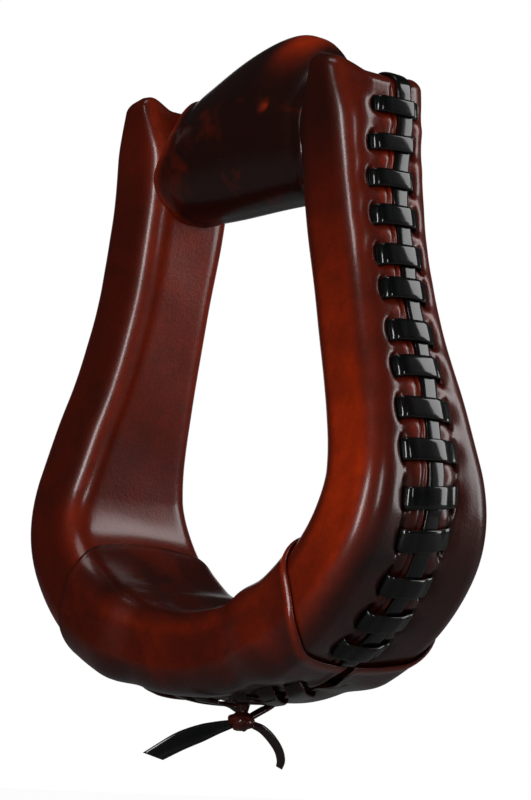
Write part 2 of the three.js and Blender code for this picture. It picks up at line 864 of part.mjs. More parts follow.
function addPiece(name, geometry, color, roughness, metalness = 0) {
  const flat = geometry.index ? geometry.toNonIndexed() : geometry;
  flat.computeVertexNormals();
  const material = new THREE.MeshStandardMaterial({ color, roughness, metalness });
  const piece = new THREE.Mesh(flat, material);
  piece.name = name;
  group.add(piece);
}

const mahoganyLeather = 0x6b2412;
const blackLace = 0x1c1210;
const paleWood = 0xa9824f;
const zincSteel = 0x9a9c9e;

const rightLacing = branchLacing();
const rightRunner = runner();
const rightWasher = washer();

addPiece('wood_frame', woodFrame(), paleWood, 0.7);
addPiece('neck_block', neckBlock(), paleWood, 0.7);
addPiece('neck_bolt', boltAndHead(), zincSteel, 0.35, 1);
addPiece('bolt_washer_left', mirrored(rightWasher), zincSteel, 0.35, 1);
addPiece('bolt_washer_right', rightWasher, zincSteel, 0.35, 1);
addPiece('neck_nut', nut(), zincSteel, 0.35, 1);
addPiece('left_cover', branchCover(-1), mahoganyLeather, 0.42);
addPiece('right_cover', branchCover(1), mahoganyLeather, 0.42);
addPiece('neck_cover', neckCover(), mahoganyLeather, 0.42);
addPiece('tread_cover', treadCover(), mahoganyLeather, 0.42);
addPiece('left_runner', mirrored(rightRunner), blackLace, 0.5);
addPiece('right_runner', rightRunner, blackLace, 0.5);
addPiece('left_lacing', mirrored(rightLacing), blackLace, 0.45);
addPiece('right_lacing', rightLacing, blackLace, 0.45);
addPiece('tread_lace_left', treadLace(-1), blackLace, 0.45);
addPiece('tread_lace_right', treadLace(1), blackLace, 0.45);
addPiece('tread_knot', knot(), blackLace, 0.45);
addPiece('lace_tail_long', tail(longTailRoute, longTailWidth), blackLace, 0.4);
addPiece('lace_tail_short', tail(shortTailRoute, shortTailWidth), blackLace, 0.6);

export default group;
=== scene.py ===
import bmesh
import bpy
import numpy as np
from mathutils import Matrix


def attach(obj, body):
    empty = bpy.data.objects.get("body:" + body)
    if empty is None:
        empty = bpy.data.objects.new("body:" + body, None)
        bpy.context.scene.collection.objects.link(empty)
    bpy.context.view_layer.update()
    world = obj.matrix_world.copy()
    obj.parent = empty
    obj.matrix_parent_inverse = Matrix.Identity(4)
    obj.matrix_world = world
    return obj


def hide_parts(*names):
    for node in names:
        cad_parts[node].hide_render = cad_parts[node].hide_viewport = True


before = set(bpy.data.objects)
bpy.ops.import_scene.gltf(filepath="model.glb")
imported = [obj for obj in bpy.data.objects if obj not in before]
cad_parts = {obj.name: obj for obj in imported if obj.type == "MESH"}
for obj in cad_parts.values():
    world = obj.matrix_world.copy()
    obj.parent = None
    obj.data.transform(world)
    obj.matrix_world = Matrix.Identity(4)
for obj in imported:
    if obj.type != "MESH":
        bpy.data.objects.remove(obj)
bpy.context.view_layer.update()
print("frame loaded:", len(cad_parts), "nodes")

# The photograph's camera: portrait frame, so the 36 mm of the sensor lie along its height
camera = {
    "place": (0.662157, -0.604899, -0.182480),
    "right": (0.68120, 0.73084, 0.04292),
    "up": (0.06904, -0.12249, 0.99007),
    "lens": 125.985,
}

# Bow and leather in millimetres, as the solids have them; distances run along the bow's
# middle line from the centre of the tread, outward from it, and across it (front is minus)
bow = {
    "lengths": [29, 45, 27, 25, 106.95],
    "turns": [16, 41, 43, 9, -16],
    "neckHeight": 144.5,
    "halfDepths": [24.2, 26.7, 26.2, 19.2, 14.7, 14.7, 16.2],
    "woodHalf": 9.5,
    "woodRadius": 5.7,
    "leather": 3.0,
    "seat": 0.3,
    "laceRoom": 1.7,
}
bowLength = sum(bow["lengths"])
coveredHalf = bow["woodHalf"] + bow["laceRoom"] / 2 + bow["seat"] + bow["leather"]
coveredRadius = bow["woodRadius"] + bow["seat"] + bow["leather"]
branchTop = bowLength + bow["seat"] + bow["leather"]
# Branch tops: they dip behind a peak at the front corner, and lean outward under the sleeve
branchEnd = {
    "run": 24.0,
    "lean": 8.5,
    "pinch": 4.0,
    "dip": 4.0,
    "fall": 3.0,
    "backPeak": 0.4,
    "frontFrom": 0.45,
    "backFrom": 0.3,
}
# Lacing of the outer faces. The seam and the middle of the bars have a place across and the
# two bends that swing them back going up; reach is half a bar and what it gains at the widest
# place, and uneven shifts the single bars along the bow
lacing = {
    "count": 15,
    "first": 51.0,
    "pitch": 10.1,
    "growth": 0.298,
    "seam": (-2.5, 3.3, 4.6),
    "middle": (-2.6, 1.5, 3.8),
    "reach": (8.5, 2.2),
    "width": (7.0, 5.4),
    "thickness": 1.3,
    "runnerWidth": 6.3,
    "runnerThickness": 1.2,
    "runnerStart": 44.6,
    "over": 2.4,  # height of a bar over the leather where it crosses the runner
    "uneven": (-0.3, 0, 0.7, 1.9, 0, -1.2, 0.2, 0.5, 0.5, 2.9, 1.9, 2.4, 1.6, 0.4, 0.8),
}
# Places of the bars along the bow: their pitch grows upwards, and the hand was a little uneven
rng = np.random.default_rng(7)
stitch = np.arange(lacing["count"])
stitchAlong = lacing["first"] + lacing["pitch"] * stitch + lacing["growth"] * stitch * (stitch - 1) / 2
stitchAlong = stitchAlong + rng.uniform(-0.6, 0.6, lacing["count"]) + np.array(lacing["uneven"])


def smooth(x, low, high):
    # 0 below low, 1 above high, and the usual cubic in between
    t = np.clip((x - low) / (high - low), 0, 1)
    return t * t * (3 - 2 * t)


def bell(x, width, power=2):
    # e to the power of minus the square of x over the width: 1 at 0, and 0.37 at the width on both
    # sides; a power above 2 makes the top flatter
    return np.exp(-(x / width) ** power)


def blend(a, b, c, d, t):
    # cubic from b to c as t goes from 0 to 1, with half of c - a as its slope at b, and half of
    # d - b at c
    return b + 0.5 * t * (c - a + t * (2 * a - 5 * b + 4 * c - d + t * (3 * (b - c) + d - a)))


def stacked(*values):
    # one row for each set of values, such as the three of a point
    return np.stack(np.broadcast_arrays(*values), -1)


def unit(vectors):
    # each vector divided by its length
    return vectors / np.maximum(np.linalg.norm(vectors, axis=-1, keepdims=True), 1e-9)


def bowLine(along):
    # chain of tangent arcs: each adds its chord, turned to its middle heading
    along = np.asarray(along, float)
    side = np.where(along < 0, -1.0, 1.0)
    left = np.abs(along)
    heading = np.zeros_like(left)
    x = np.zeros_like(left)
    z = np.zeros_like(left)
    for length, turn in zip(bow["lengths"], np.radians(bow["turns"])):
        part = np.clip(left, 0, length)
        half = turn * part / length / 2
        chord = part * np.sinc(half / np.pi)
        x = x + chord * np.cos(heading + half)
        z = z + chord * np.sin(heading + half)
        heading = heading + 2 * half
        left = left - part
    x = x + left * np.cos(heading)
    z = z + left * np.sin(heading)
    return side * x, z - bow["neckHeight"], side * np.sin(heading), -np.cos(heading)


def seamAt(along):
    # the seam runs in front of the middle low down and swings back in two bends going up: its
    # place low down plus a smooth step for each bend
    low, bend, topBend = lacing["seam"]
    along = np.abs(along)
    return low + bend * smooth(along, 80, 140) + topBend * smooth(along, 182, 218)


def stitchMiddle(along):
    # the middle of the bars swings back in the same way, but lies a little further forward
    low, bend, topBend = lacing["middle"]
    along = np.abs(along)
    return low + bend * smooth(along, 110, 150) + topBend * smooth(along, 195, 222)


def reachAt(along):
    # half the length of a bar: a base, plus a bell that is highest where the branch is widest
    base, more = lacing["reach"]
    return base + more * bell(np.abs(along) - 104, 20)


def topShare(along):
    # 0 where the shaping of a branch's top begins, 1 at the top
    return smooth(along, branchTop - branchEnd["run"], branchTop)


def frontShare(across):
    # 1 at the front edge of a branch's top, falling to 0 about halfway to its middle
    return smooth(-across / bow["halfDepths"][-1], branchEnd["frontFrom"], 1)


def topDip(out, across):
    # how far the top dips: not at the front peak, less at the back one, and more on the outer side
    back = smooth(across / bow["halfDepths"][-1], branchEnd["backFrom"], 1)
    dip = branchEnd["dip"] * (1 - frontShare(across) - branchEnd["backPeak"] * back)
    return dip + branchEnd["fall"] * np.maximum(0, out) / coveredHalf


def place(along, out, across):
    # point of the middle line, plus out times its outward normal, plus across along Y; near a
    # branch's top it is first lowered by the dip and leant outward
    along, out, across = [np.asarray(v, float) for v in (along, out, across)]
    outward = np.maximum(0, out) / coveredHalf
    inward = np.maximum(0, -out) / coveredHalf
    lowered = np.abs(along) - topDip(out, across) * topShare(np.abs(along))
    lean = branchEnd["lean"] * inward - branchEnd["pinch"] * frontShare(across) * outward
    lean = topShare(lowered) * lean
    x, z, nx, nz = bowLine(np.where(along < 0, -lowered, lowered))
    return stacked(x + (out + lean) * nx, across, z + (out + lean) * nz)


def woodDepth(along):
    # curve through the half depths, which stand at even distances along the bow
    values = np.array(bow["halfDepths"])
    padded = np.concatenate([values[:1], values, values[-1:]])
    at = np.clip(np.abs(along) / bowLength, 0, 1) * (len(values) - 1)
    i = np.minimum(at.astype(int), len(values) - 2)
    return blend(padded[i], padded[i + 1], padded[i + 2], padded[i + 3], at - i)


def coverDepth(along):
    # half the depth over the leather: wood, seat and leather together
    return woodDepth(along) + bow["seat"] + bow["leather"]


def roundedRing(outer, inner, depth, radius, counts, seam):
    # rounded rectangle, from the seam on its outer face round by the back: five flats, each a
    # straight run between two points, with a quarter arc between each two, which is a corner's
    # centre plus the radius times cosine and sine. A size has one value for each ring, or one
    # for each ring and column; the outward normals come with the points
    sizes = [np.asarray(v, float) for v in np.broadcast_arrays(outer, inner, depth, radius, seam)]
    sizes = [v[:, None] if v.ndim == 1 else v for v in sizes]
    face, arc, flank, inside = counts
    pieces = []
    first = 0
    for part, count in enumerate((face, arc, flank, arc, inside, arc, flank, arc, face)):
        columns = slice(first, first + count)
        outer, inner, depth, radius, seam = [v[:, columns] if v.shape[1] > 1 else v for v in sizes]
        first += count
        u = (np.arange(count) / count)[None, :]
        flat = depth - radius
        near, far = outer - radius, radius - inner
        heading = (part // 2 + part % 2 * u) * np.pi / 2
        nOut, nAcross = np.cos(heading), np.sin(heading)
        if part % 2:
            centres = ((near, flat), (far, flat), (far, -flat), (near, -flat))
            centreOut, centreAcross = centres[part // 2]
            out, across = centreOut + radius * nOut, centreAcross + radius * nAcross
        else:
            runs = (
                (outer, seam, outer, flat), (near, depth, far, depth), (-inner, flat, -inner, -flat),
                (far, -depth, near, -depth), (outer, -flat, outer, seam))
            fromOut, fromAcross, toOut, toAcross = runs[part // 2]
            out, across = fromOut + (toOut - fromOut) * u, fromAcross + (toAcross - fromAcross) * u
        pieces.append(np.broadcast_arrays(out, across, nOut, nAcross))
    return [np.concatenate([p[k] for p in pieces], 1) for k in range(4)]


def gridQuads(rows, columns, closedRound=True):
    # four corners of each cell between two rows; where the rows close round, the last column is
    # joined to the first
    i = np.arange(rows - 1)[:, None]
    j = np.arange(columns if closedRound else columns - 1)[None, :]
    k = (j + 1) % columns
    corners = [i * columns + j, i * columns + k, (i + 1) * columns + k, (i + 1) * columns + j]
    return stacked(*corners).reshape(-1, 4)


def addPiece(name, points, quads, material, node, attributes):
    # millimetres times 0.001 are metres; poles and doubled rims are merged, and faces are turned
    # outwards, which is where the volume is above 0
    mesh = bpy.data.meshes.new(name)
    mesh.vertices.add(len(points))
    mesh.vertices.foreach_set("co", (np.asarray(points, float) * 0.001).ravel())
    mesh.loops.add(quads.size)
    mesh.loops.foreach_set("vertex_index", quads.ravel().astype(np.int32))
    mesh.polygons.add(len(quads))
    mesh.polygons.foreach_set("loop_start", np.arange(len(quads), dtype=np.int32) * 4)
    mesh.update(calc_edges=True)
    for key, values in attributes.items():
        layer = mesh.attributes.new(key, "FLOAT", "POINT")
        layer.data.foreach_set("value", np.asarray(values, float).ravel())
    work = bmesh.new()
    work.from_mesh(mesh)
    bmesh.ops.remove_doubles(work, verts=work.verts, dist=1e-6)
    bmesh.ops.dissolve_degenerate(work, edges=work.edges, dist=1e-8)
    bmesh.ops.recalc_face_normals(work, faces=work.faces)
    if work.calc_volume(signed=True) < 0:
        bmesh.ops.reverse_faces(work, faces=work.faces)
    work.to_mesh(mesh)
    work.free()
    mesh.polygons.foreach_set("use_smooth", np.ones(len(mesh.polygons), bool))
    mesh.materials.append(material)
    piece = bpy.data.objects.new(name, mesh)
    bpy.context.scene.collection.objects.link(piece)
    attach(piece, "root")
    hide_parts(node)


def twoSkins(name, outer, inner, closedRound, material, node, marks):
    # the inner skin is turned over and shares its rims with the outer one, and the marks from 0
    # to 1 only show on the outer one
    rows, columns = outer.shape[:2]
    points = np.concatenate([outer.reshape(-1, 3), inner.reshape(-1, 3)])
    quads = gridQuads(rows, columns, closedRound)
    quads = np.concatenate([quads, quads[:, ::-1] + rows * columns])
    attributes = {key: np.concatenate([np.clip(mark, 0, 1), 0 * mark]) for key, mark in marks.items()}
    addPiece(name, points, quads, material, node, attributes)


class Wire:
    # a socket that takes part in sums; numbers and other wires both serve as operands
    def __init__(self, graph, socket):
        self.graph = graph
        self.socket = socket

    def math(self, operation, *others):
        # the operation on this wire and the others, in that order
        inputs = dict(enumerate((self, *others)))
        return self.graph.node("ShaderNodeMath", {"operation": operation}, inputs)

    def __add__(self, other):
        return self.math("ADD", other)

    def __mul__(self, other):
        return self.math("MULTIPLY", other)

    def __sub__(self, other):
        return self.math("SUBTRACT", other)

    def __rsub__(self, other):
        # this wire times minus one, plus the other
        return self.math("MULTIPLY_ADD", -1.0, other)

    __radd__ = __add__
    __rmul__ = __mul__

    def between(self, low, high):
        # 0 below low, 1 above high, smooth between them
        return self.graph.node("ShaderNodeMapRange", {"interpolation_type": "SMOOTHSTEP"},
                               {"Value": self, "From Min": low, "From Max": high})


class Graph:
    # the node tree of a new material, or of the world
    def __init__(self, name, world=None):
        self.owner = world or bpy.data.materials.new(name)
        self.owner.use_nodes = True
        self.tree = self.owner.node_tree
        self.tree.nodes.clear()
        kind = "ShaderNodeOutputWorld" if world else "ShaderNodeOutputMaterial"
        self.end = self.tree.nodes.new(kind)

    def node(self, kind, settings=None, inputs=None, output=0):
        # settings go first, as they decide which sockets there are; a wire is linked to its
        # socket, and any other value is set on it
        made = self.tree.nodes.new(kind)
        for key, value in (settings or {}).items():
            setattr(made, key, value)
        for key, value in (inputs or {}).items():
            if isinstance(value, Wire):
                self.tree.links.new(value.socket, made.inputs[key])
            else:
                made.inputs[key].default_value = value
        return Wire(self, made.outputs[output])

    def coordinates(self):
        # metres from the object's origin
        return self.node("ShaderNodeTexCoord", output="Object")

    def noise(self, size, detail=4.0, roughness=0.5, distortion=0.0, where=None):
        # size is the pattern's grain in millimetres
        return self.node("ShaderNodeTexNoise", {}, {
            "Vector": where or self.coordinates(), "Scale": 1000 / size, "Detail": detail,
            "Roughness": roughness, "Distortion": distortion})

    def cells(self, size):
        # distance to the nearest cell's middle; size is a cell's width in millimetres
        return self.node("ShaderNodeTexVoronoi", {}, {"Vector": self.coordinates(), "Scale": 1000 / size})

    def attribute(self, name):
        # the value from 0 to 1 that a piece holds at each point
        return self.node("ShaderNodeAttribute", {"attribute_name": name}, output="Fac")

    def mixColour(self, factor, a, b):
        # a times one minus the factor, plus b times the factor
        a, b = [(*colour, 1) if isinstance(colour, tuple) else colour for colour in (a, b)]
        return self.node("ShaderNodeMix", {"data_type": "RGBA"}, {0: factor, 6: a, 7: b}, output=2)

    def mixShader(self, share, a, b):
        # a times one minus the share, plus b times the share
        return self.node("ShaderNodeMixShader", {}, {0: share, 1: a, 2: b})

    def bump(self, height, strength, distance):
        # tips the normals; a height of 1 stands for the distance in millimetres
        return self.node("ShaderNodeBump", {}, {
            "Height": height, "Strength": strength, "Distance": distance / 1000})

    def show(self, surface):
        # links a shader to the output
        self.tree.links.new(surface.socket, self.end.inputs["Surface"])
        return self.owner

    def finish(self, inputs):
        # one Principled shader with these inputs
        return self.show(self.node("ShaderNodeBsdfPrincipled", {}, inputs))


def srgb(r, g, b):
    # written as 0 to 255, as a picture shows it; a share v of 255 is linear ((v + 0.055) / 1.055)
    # to the power 2.4, and v / 12.92 near black
    values = np.array([r, g, b]) / 255
    linear = np.where(values < 0.04045, values / 12.92, ((values + 0.055) / 1.055) ** 2.4)
    return tuple(float(v) for v in linear)


# worn is the colour of rubbed leather, and also of the painted light on the tread cover and the sleeve
coverLook = {
    "deep": srgb(52, 13, 6),
    "body": srgb(80, 17, 4),
    "worn": srgb(160, 42, 6),
    "nick": srgb(190, 116, 84),
    "dark": srgb(22, 9, 7),
    "roughness": 0.36,
}


def coverLeather(name, stain=0.0):
    # two sizes of cloud mix the deep and the body colour, then stains, wear and painted light, specks,
    # nicks, painted shade and the painted shade of hollows go over them in turn; a thin coat of wax gives
    # the gloss
    g = Graph(name)
    mottle = g.noise(34, 5, 0.6, 0.4).between(0.3, 0.72)
    cloud = g.noise(9, 4, 0.55).between(0.25, 0.8)
    speck = g.noise(1.6, 2, 0.6).between(0.42, 0.7)
    wearAndLight = g.attribute("wearAndLight")
    hollowShade = g.attribute("hollowShade")
    colour = g.mixColour(mottle * 0.7 + cloud * 0.3, coverLook["deep"], coverLook["body"])
    if stain:
        patch = g.noise(26, 4, 0.6, 0.8).between(0.56 - 0.28 * stain, 0.66 - 0.22 * stain) * stain
        colour = g.mixColour(patch, colour, coverLook["dark"])
    # wear lightens the leather, and so does the painted light that some pieces put in the same mask
    colour = g.mixColour(wearAndLight * (0.55 + 0.45 * cloud), colour, coverLook["worn"])
    colour = g.mixColour(speck * 0.12, colour, coverLook["dark"])
    nick = g.noise(4.2, 6, 0.75).between(0.735, 0.76)
    colour = g.mixColour(nick * 0.8, colour, coverLook["nick"])
    # painted shade: the shade mask darkens the leather towards the dark colour
    colour = g.mixColour(g.attribute("shade") * (0.6 + 0.4 * mottle), colour, coverLook["dark"])
    # painted shade in the slots and in the seam's hollow
    colour = g.mixColour(hollowShade * 0.75, colour, coverLook["dark"])
    grain = g.cells(0.85).between(0.0, 0.75)
    fold = g.noise(3.2, 4, 0.6, 0.6)
    wave = g.noise(14, 3, 0.5)
    height = grain * 0.16 + fold * 0.4 + wave * 0.8 + speck * 0.08
    bump = g.bump(height, 0.5, 0.5)
    scuff = g.noise(5, 5, 0.7, 0.3).between(0.5, 0.85)
    rough = coverLook["roughness"] + scuff * 0.12 + hollowShade * 0.25 - wearAndLight * 0.04
    return g.finish({
        "Base Color": colour, "Roughness": rough, "Normal": bump,
        "Specular IOR Level": 0.08, "Specular Tint": (1.0, 0.7, 0.66, 1),
        "Coat Weight": 0.42, "Coat Roughness": 0.2})


def laceLeather(name, body, edge, roughness=0.34, coat=0.5):
    # clouds of the edge colour over the body, and more of it along both rims
    g = Graph(name)
    rim = g.attribute("rim")
    grain = g.cells(0.7).between(0.0, 0.8)
    streak = g.noise(2.4, 4, 0.6, 0.5)
    colour = g.mixColour(g.noise(6, 4, 0.6).between(0.45, 0.8) * 0.5, body, edge)
    colour = g.mixColour(rim * 0.8, colour, edge)
    rough = roughness + streak * 0.14 + rim * 0.25
    return g.finish({
        "Base Color": colour, "Roughness": rough, "Normal": g.bump(grain * 0.1 + streak * 0.5, 0.45, 0.4),
        "Specular IOR Level": 0.03, "Coat Weight": coat, "Coat Roughness": 0.09})


def bareWood():
    # noise drawn out along the height makes the rings and the pores
    g = Graph("BowWood")
    where = g.node("ShaderNodeMapping", {}, {"Vector": g.coordinates(), "Scale": (1.0, 6.0, 0.25)})
    rings = g.noise(5, 5, 0.6, 0.6, where)
    pores = g.noise(1.1, 2, 0.6, 0.2, where)
    colour = g.mixColour(rings.between(0.35, 0.7), srgb(186, 146, 98), srgb(146, 104, 62))
    colour = g.mixColour(pores.between(0.58, 0.75) * 0.5, colour, srgb(104, 70, 40))
    rough = 0.55 + pores * 0.2
    return g.finish({"Base Color": colour, "Roughness": rough, "Normal": g.bump(pores, 0.4, 0.2)})


def platedSteel():
    # fine noise varies the colour and the roughness of the zinc
    g = Graph("PlatedSteel")
    marks = g.noise(1.5, 4, 0.6)
    colour = g.mixColour(marks, srgb(196, 198, 200), srgb(158, 160, 164))
    return g.finish({
        "Base Color": colour, "Metallic": 1.0, "Roughness": 0.25 + marks * 0.2,
        "Normal": g.bump(marks, 0.2, 0.1)})


branchLeather = coverLeather("BranchLeather")
neckLeather = coverLeather("NeckLeather", stain=0.95)
treadLeather = coverLeather("TreadLeather", stain=0.5)
blackLace = laceLeather("BlackLace", srgb(4, 5, 5), srgb(18, 11, 9))
endLace = laceLeather("EndLace", srgb(20, 8, 8), srgb(52, 18, 13))
tieLace = laceLeather("TieLace", srgb(44, 15, 11), srgb(84, 27, 17), 0.4, 0.3)
finishes = [
    (bareWood(), ["wood_frame", "neck_block"]),
    (platedSteel(), ["neck_bolt", "bolt_washer_left", "bolt_washer_right", "neck_nut"]),
]
for look, nodes in finishes:
    for node in nodes:
        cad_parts[node].data.materials.clear()
        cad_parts[node].data.materials.append(look)
print("materials made")


# Leather of a branch: a sock of two skins that ends under the tread cover
branchLook = {
    "start": 36.0,
    "rowStep": 0.9,
    "counts": (34, 14, 10, 22),
    "topRounding": 4.3,
    "slotDepth": 2.2,
    "pull": 1.0,
    "puff": 0.85,
    "grooveDepth": 2.6,
    "uneven": 0.22,
}


def laceWidthAt(along):
    # the lace is drawn narrower over the last bars, by a smooth step from wide to narrow
    wide, narrow = lacing["width"]
    return wide + (narrow - wide) * smooth(along, 170, 205)


def branchRelief(along, across, out, onFace, seed):
    # height over the smooth leather: a groove at the seam, the lip of the edge beside it, a funnel
    # at each slot with a soft pull round it, a puff between the bars, and slow waves everywhere.
    # The slots come back as a mask too, which paints shade in them
    fromSeam = across - seamAt(along)
    relief = -branchLook["grooveDepth"] * (1 - smooth(np.abs(fromSeam), 0.9, 1.8))
    lip = fromSeam + lacing["runnerWidth"] / 2 + 2.0 + 0.35 * np.sin(along / 7.3)
    relief = relief - 0.55 * bell(lip, 0.45) + 0.35 * bell(lip - 1.2, 0.8)
    slotMask = np.zeros_like(relief)
    for i, spot in enumerate(stitchAlong):
        beside = along - spot
        half = laceWidthAt(spot) / 2 + 0.6
        for sign in (-1, 1):
            past = across - stitchMiddle(along) - sign * reachAt(along)
            funnel = bell(beside, half, 6) * bell(past, 0.95)
            relief = relief - branchLook["slotDepth"] * funnel
            relief = relief - branchLook["pull"] * bell(beside, 4.6) * bell(past, 3.6)
            slotMask = slotMask + funnel + 0.35 * bell(beside, 4.2) * bell(past, 2.6)
        if i:
            middle = (spot + stitchAlong[i - 1]) / 2
            puff = bell(along - middle, 3.4) * bell(np.abs(fromSeam) - 6.5, 4.2)
            relief = relief + branchLook["puff"] * puff
    relief = relief * onFace
    phase = rng.uniform(0, 6.28, 6) + seed
    waves = (np.sin(along / 11 + phase[0]) * np.cos(across / 9 + phase[1])
             + 0.6 * np.sin(along / 5.2 + across / 7 + phase[2])
             + 0.7 * np.sin(out / 6 + along / 17 + phase[3]))
    return relief + branchLook["uneven"] * waves * 0.5, slotMask * onFace


def patchwork(along, nOut, nAcross, patches):
    # each patch is its strength times a bell of the distance along and round the section; it
    # holds its place along, angle, length, width and strength. A strength above 0 makes the leather
    # lighter there, wear on the branches and painted light on the tread cover; below 0 it paints shade
    around = np.degrees(np.arctan2(nAcross, nOut))
    rubbedAndLit = np.zeros_like(around)
    darker = np.zeros_like(around)
    for spot, angle, length, width, strength in patches:
        turn = (around - angle + 180) % 360 - 180
        patch = strength * bell(along - spot, length) * bell(turn, width)
        rubbedAndLit = rubbedAndLit + np.maximum(0, patch)
        darker = darker + np.maximum(0, -patch)
    return rubbedAndLit, darker


def branchCover(name, side, node, seed, worn, patches):
    # rings from the foot to the branch top, then a rounded rim and a lid that shrinks to a pole;
    # the relief goes out along the normals. The seed shifts the waves, and worn is how far the
    # peak of the top has sunk
    rounding = branchLook["topRounding"]
    straight = np.arange(branchLook["start"], branchTop - rounding, branchLook["rowStep"])
    angles = np.linspace(0, np.pi / 2, 9)
    capAlong = branchTop - rounding + rounding * np.sin(angles)
    capInset = rounding * (1 - np.cos(angles))
    lidShare = np.linspace(0, 1, 12)[1:]
    along = np.concatenate([straight, capAlong, np.full(len(lidShare), branchTop)])
    inset = np.concatenate([np.zeros(len(straight)), capInset, np.full(len(lidShare), rounding)])
    shrink = np.concatenate([np.zeros(len(straight) + len(capAlong)), lidShare])
    depth = coverDepth(np.minimum(along, branchTop))
    half = np.full(len(along), coveredHalf)
    out, across, nOut, nAcross = roundedRing(
        half - inset, half - inset, depth - inset, coveredRadius - inset, branchLook["counts"],
        seamAt(along))
    alongAt = along[:, None] + 0 * out
    onFace = smooth(out, coveredHalf - 6, coveredHalf - 2.5)
    onFace = onFace * (1 - smooth(alongAt, branchTop - 6, branchTop - 2))
    relief, slotMask = branchRelief(alongAt, across, out, onFace, seed)
    keep = (1 - shrink)[:, None]
    relief = relief * keep
    lidDome = 0.9 * (1 - (1 - shrink[:, None]) ** 2)
    outAt = (out + relief * nOut) * keep
    acrossAt = (across + relief * nAcross) * keep
    outer = place(alongAt + lidDome, outAt, acrossAt)
    # inner skin, from the same rings set in by the leather, closed under the lid
    thick = bow["leather"]
    innerRows = np.arange(0, len(straight), 6)
    innerAlong = np.concatenate([along[innerRows], [branchTop - thick, branchTop - thick]])
    innerDepth = coverDepth(innerAlong) - thick
    innerOut, innerAcross, _, _ = roundedRing(
        coveredHalf - thick, coveredHalf - thick, innerDepth, coveredRadius - thick,
        branchLook["counts"], seamAt(innerAlong))
    closing = np.ones((len(innerAlong), 1))
    closing[-1] = 0
    inner = place(innerAlong[:, None] + 0 * innerOut, innerOut * closing, innerAcross * closing)
    rows = np.concatenate([inner[::-1], outer])
    columns = rows.shape[1]
    # the rubbed patches and edges are wear; the shade mask is painted shade, and the slot mask paints
    # shade in the slots
    rubbedAndLit, shade = patchwork(alongAt, nOut, nAcross, patches)
    wearAndLight = rubbedAndLit + 0.3 * bell(np.abs(nOut) - 0.7, 0.22) + 0.25 * smooth(relief, 0.25, 0.6)
    blank = np.zeros((len(innerAlong), columns))
    points = rows.reshape(-1, 3)
    height = smooth(points[:, 2], points[:, 2].max() - 12, points[:, 2].max())
    points[:, 2] -= worn * height
    points[:, 0] *= side
    addPiece(name, points, gridQuads(len(rows), columns), branchLeather, node, {
        "wearAndLight": np.concatenate([blank, np.clip(wearAndLight, 0, 1)]),
        "shade": np.concatenate([blank, np.clip(shade, 0, 1)]),
        "hollowShade": np.concatenate([blank, np.clip(slotMask, 0, 1)])})


# patches: along, angle, length, width and strength. Those above 0 are wear, those below 0 are painted
# shade on lower, outer, front and top faces; the last right one paints the sleeve's shade on the top front
# corner
branchCover("LeftBranchCover", -1, "left_cover", 2.0, 1.7, [
    (190, 150, 30, 40, 0.4), (150, 155, 30, 40, 0.3), (212, -135, 10, 50, 0.15), (130, -90, 70, 30, -0.3),
    (60, -110, 20, 60, -0.3)])
branchCover("RightBranchCover", 1, "right_cover", 0.0, 0.0, [
    (165, -92, 26, 20, 0.2), (128, -94, 36, 18, 0.45), (86, -80, 34, 19, 0.8), (56, -66, 14, 20, 0.35),
    (140, -40, 55, 22, -0.5), (222, -100, 30, 60, -0.8), (185, -140, 50, 40, -0.4), (75, 10, 34, 50, -0.7),
    (50, -20, 28, 70, -0.9), (110, 40, 40, 40, -0.3), (228, -150, 13, 45, -1.0)])
print("branch covers made")


# Flat lace carried along a path: its section is a flat oval with soft edges
laceSides = 14


def laceMesh(centres, wides, thicks, widths, thickness):
    # a ring's point is its centre, plus the width direction times a and the thickness direction
    # times b, with a and b on a rounded oblong; a ring without size closes each end
    angle = np.arange(laceSides) / laceSides * 2 * np.pi
    a = np.sign(np.cos(angle)) * np.abs(np.cos(angle)) ** 0.35
    b = np.sign(np.sin(angle)) * np.abs(np.sin(angle)) ** 0.7
    widths = np.broadcast_to(widths, len(centres))[:, None, None]
    depth = np.broadcast_to(thickness, len(centres))[:, None, None]
    rings = (centres[:, None] + wides[:, None] * a[None, :, None] * widths / 2
             + thicks[:, None] * b[None, :, None] * depth / 2)
    ends = [np.repeat(centres[k][None, None], laceSides, 1) for k in (0, -1)]
    rings = np.concatenate([ends[0], rings, ends[1]])
    rim = np.broadcast_to(smooth(np.abs(a), 0.86, 1.0), rings.shape[:2])
    return rings.reshape(-1, 3), gridQuads(len(rings), laceSides), rim


def addLace(name, node, mesh, look, side=1):
    # side is -1 for the mirrored one of a pair
    points, quads, rim = mesh
    addPiece(name, points * [side, 1, 1], quads, look, node, {"rim": rim})


def through(points, step):
    # curve through the stops, sampled about every step
    points = np.asarray(points, float)
    padded = np.concatenate([2 * points[:1] - points[1:2], points, 2 * points[-1:] - points[-2:-1]])
    found = []
    for i in range(len(points) - 1):
        count = max(2, int(np.ceil(np.linalg.norm((points[i + 1] - points[i])[:3]) / step)))
        found.append(blend(*padded[i:i + 4], (np.arange(count) / count)[:, None]))
    return np.concatenate(found + [points[-1:]])


def faceOut(outer, across, depth, radius):
    # how far out the outer face lies: flat, and past the flat the circle of the edge
    past = np.maximum(0, np.abs(across) - (depth - radius))
    return outer - radius + np.sqrt(np.maximum(0, radius ** 2 - past ** 2))


def laceOnBow(stops):
    # stops hold along, across, out and lean; the width lies along the bow, tipped over by the
    # lean, and is then squared to the heading
    along, across, out, lean = through(stops, 0.8).T
    centres = place(along, out, across)
    wides = place(along + 1, out, across) - place(along - 1, out, across)
    wides = wides + lean[:, None] * np.array([[0.0, 2.0, 0.0]])
    heading = np.gradient(centres, axis=0)
    thicks = unit(np.cross(wides, heading))
    wides = unit(np.cross(heading, thicks))
    return laceMesh(centres, wides, thicks, laceWidthAt(along), lacing["thickness"])


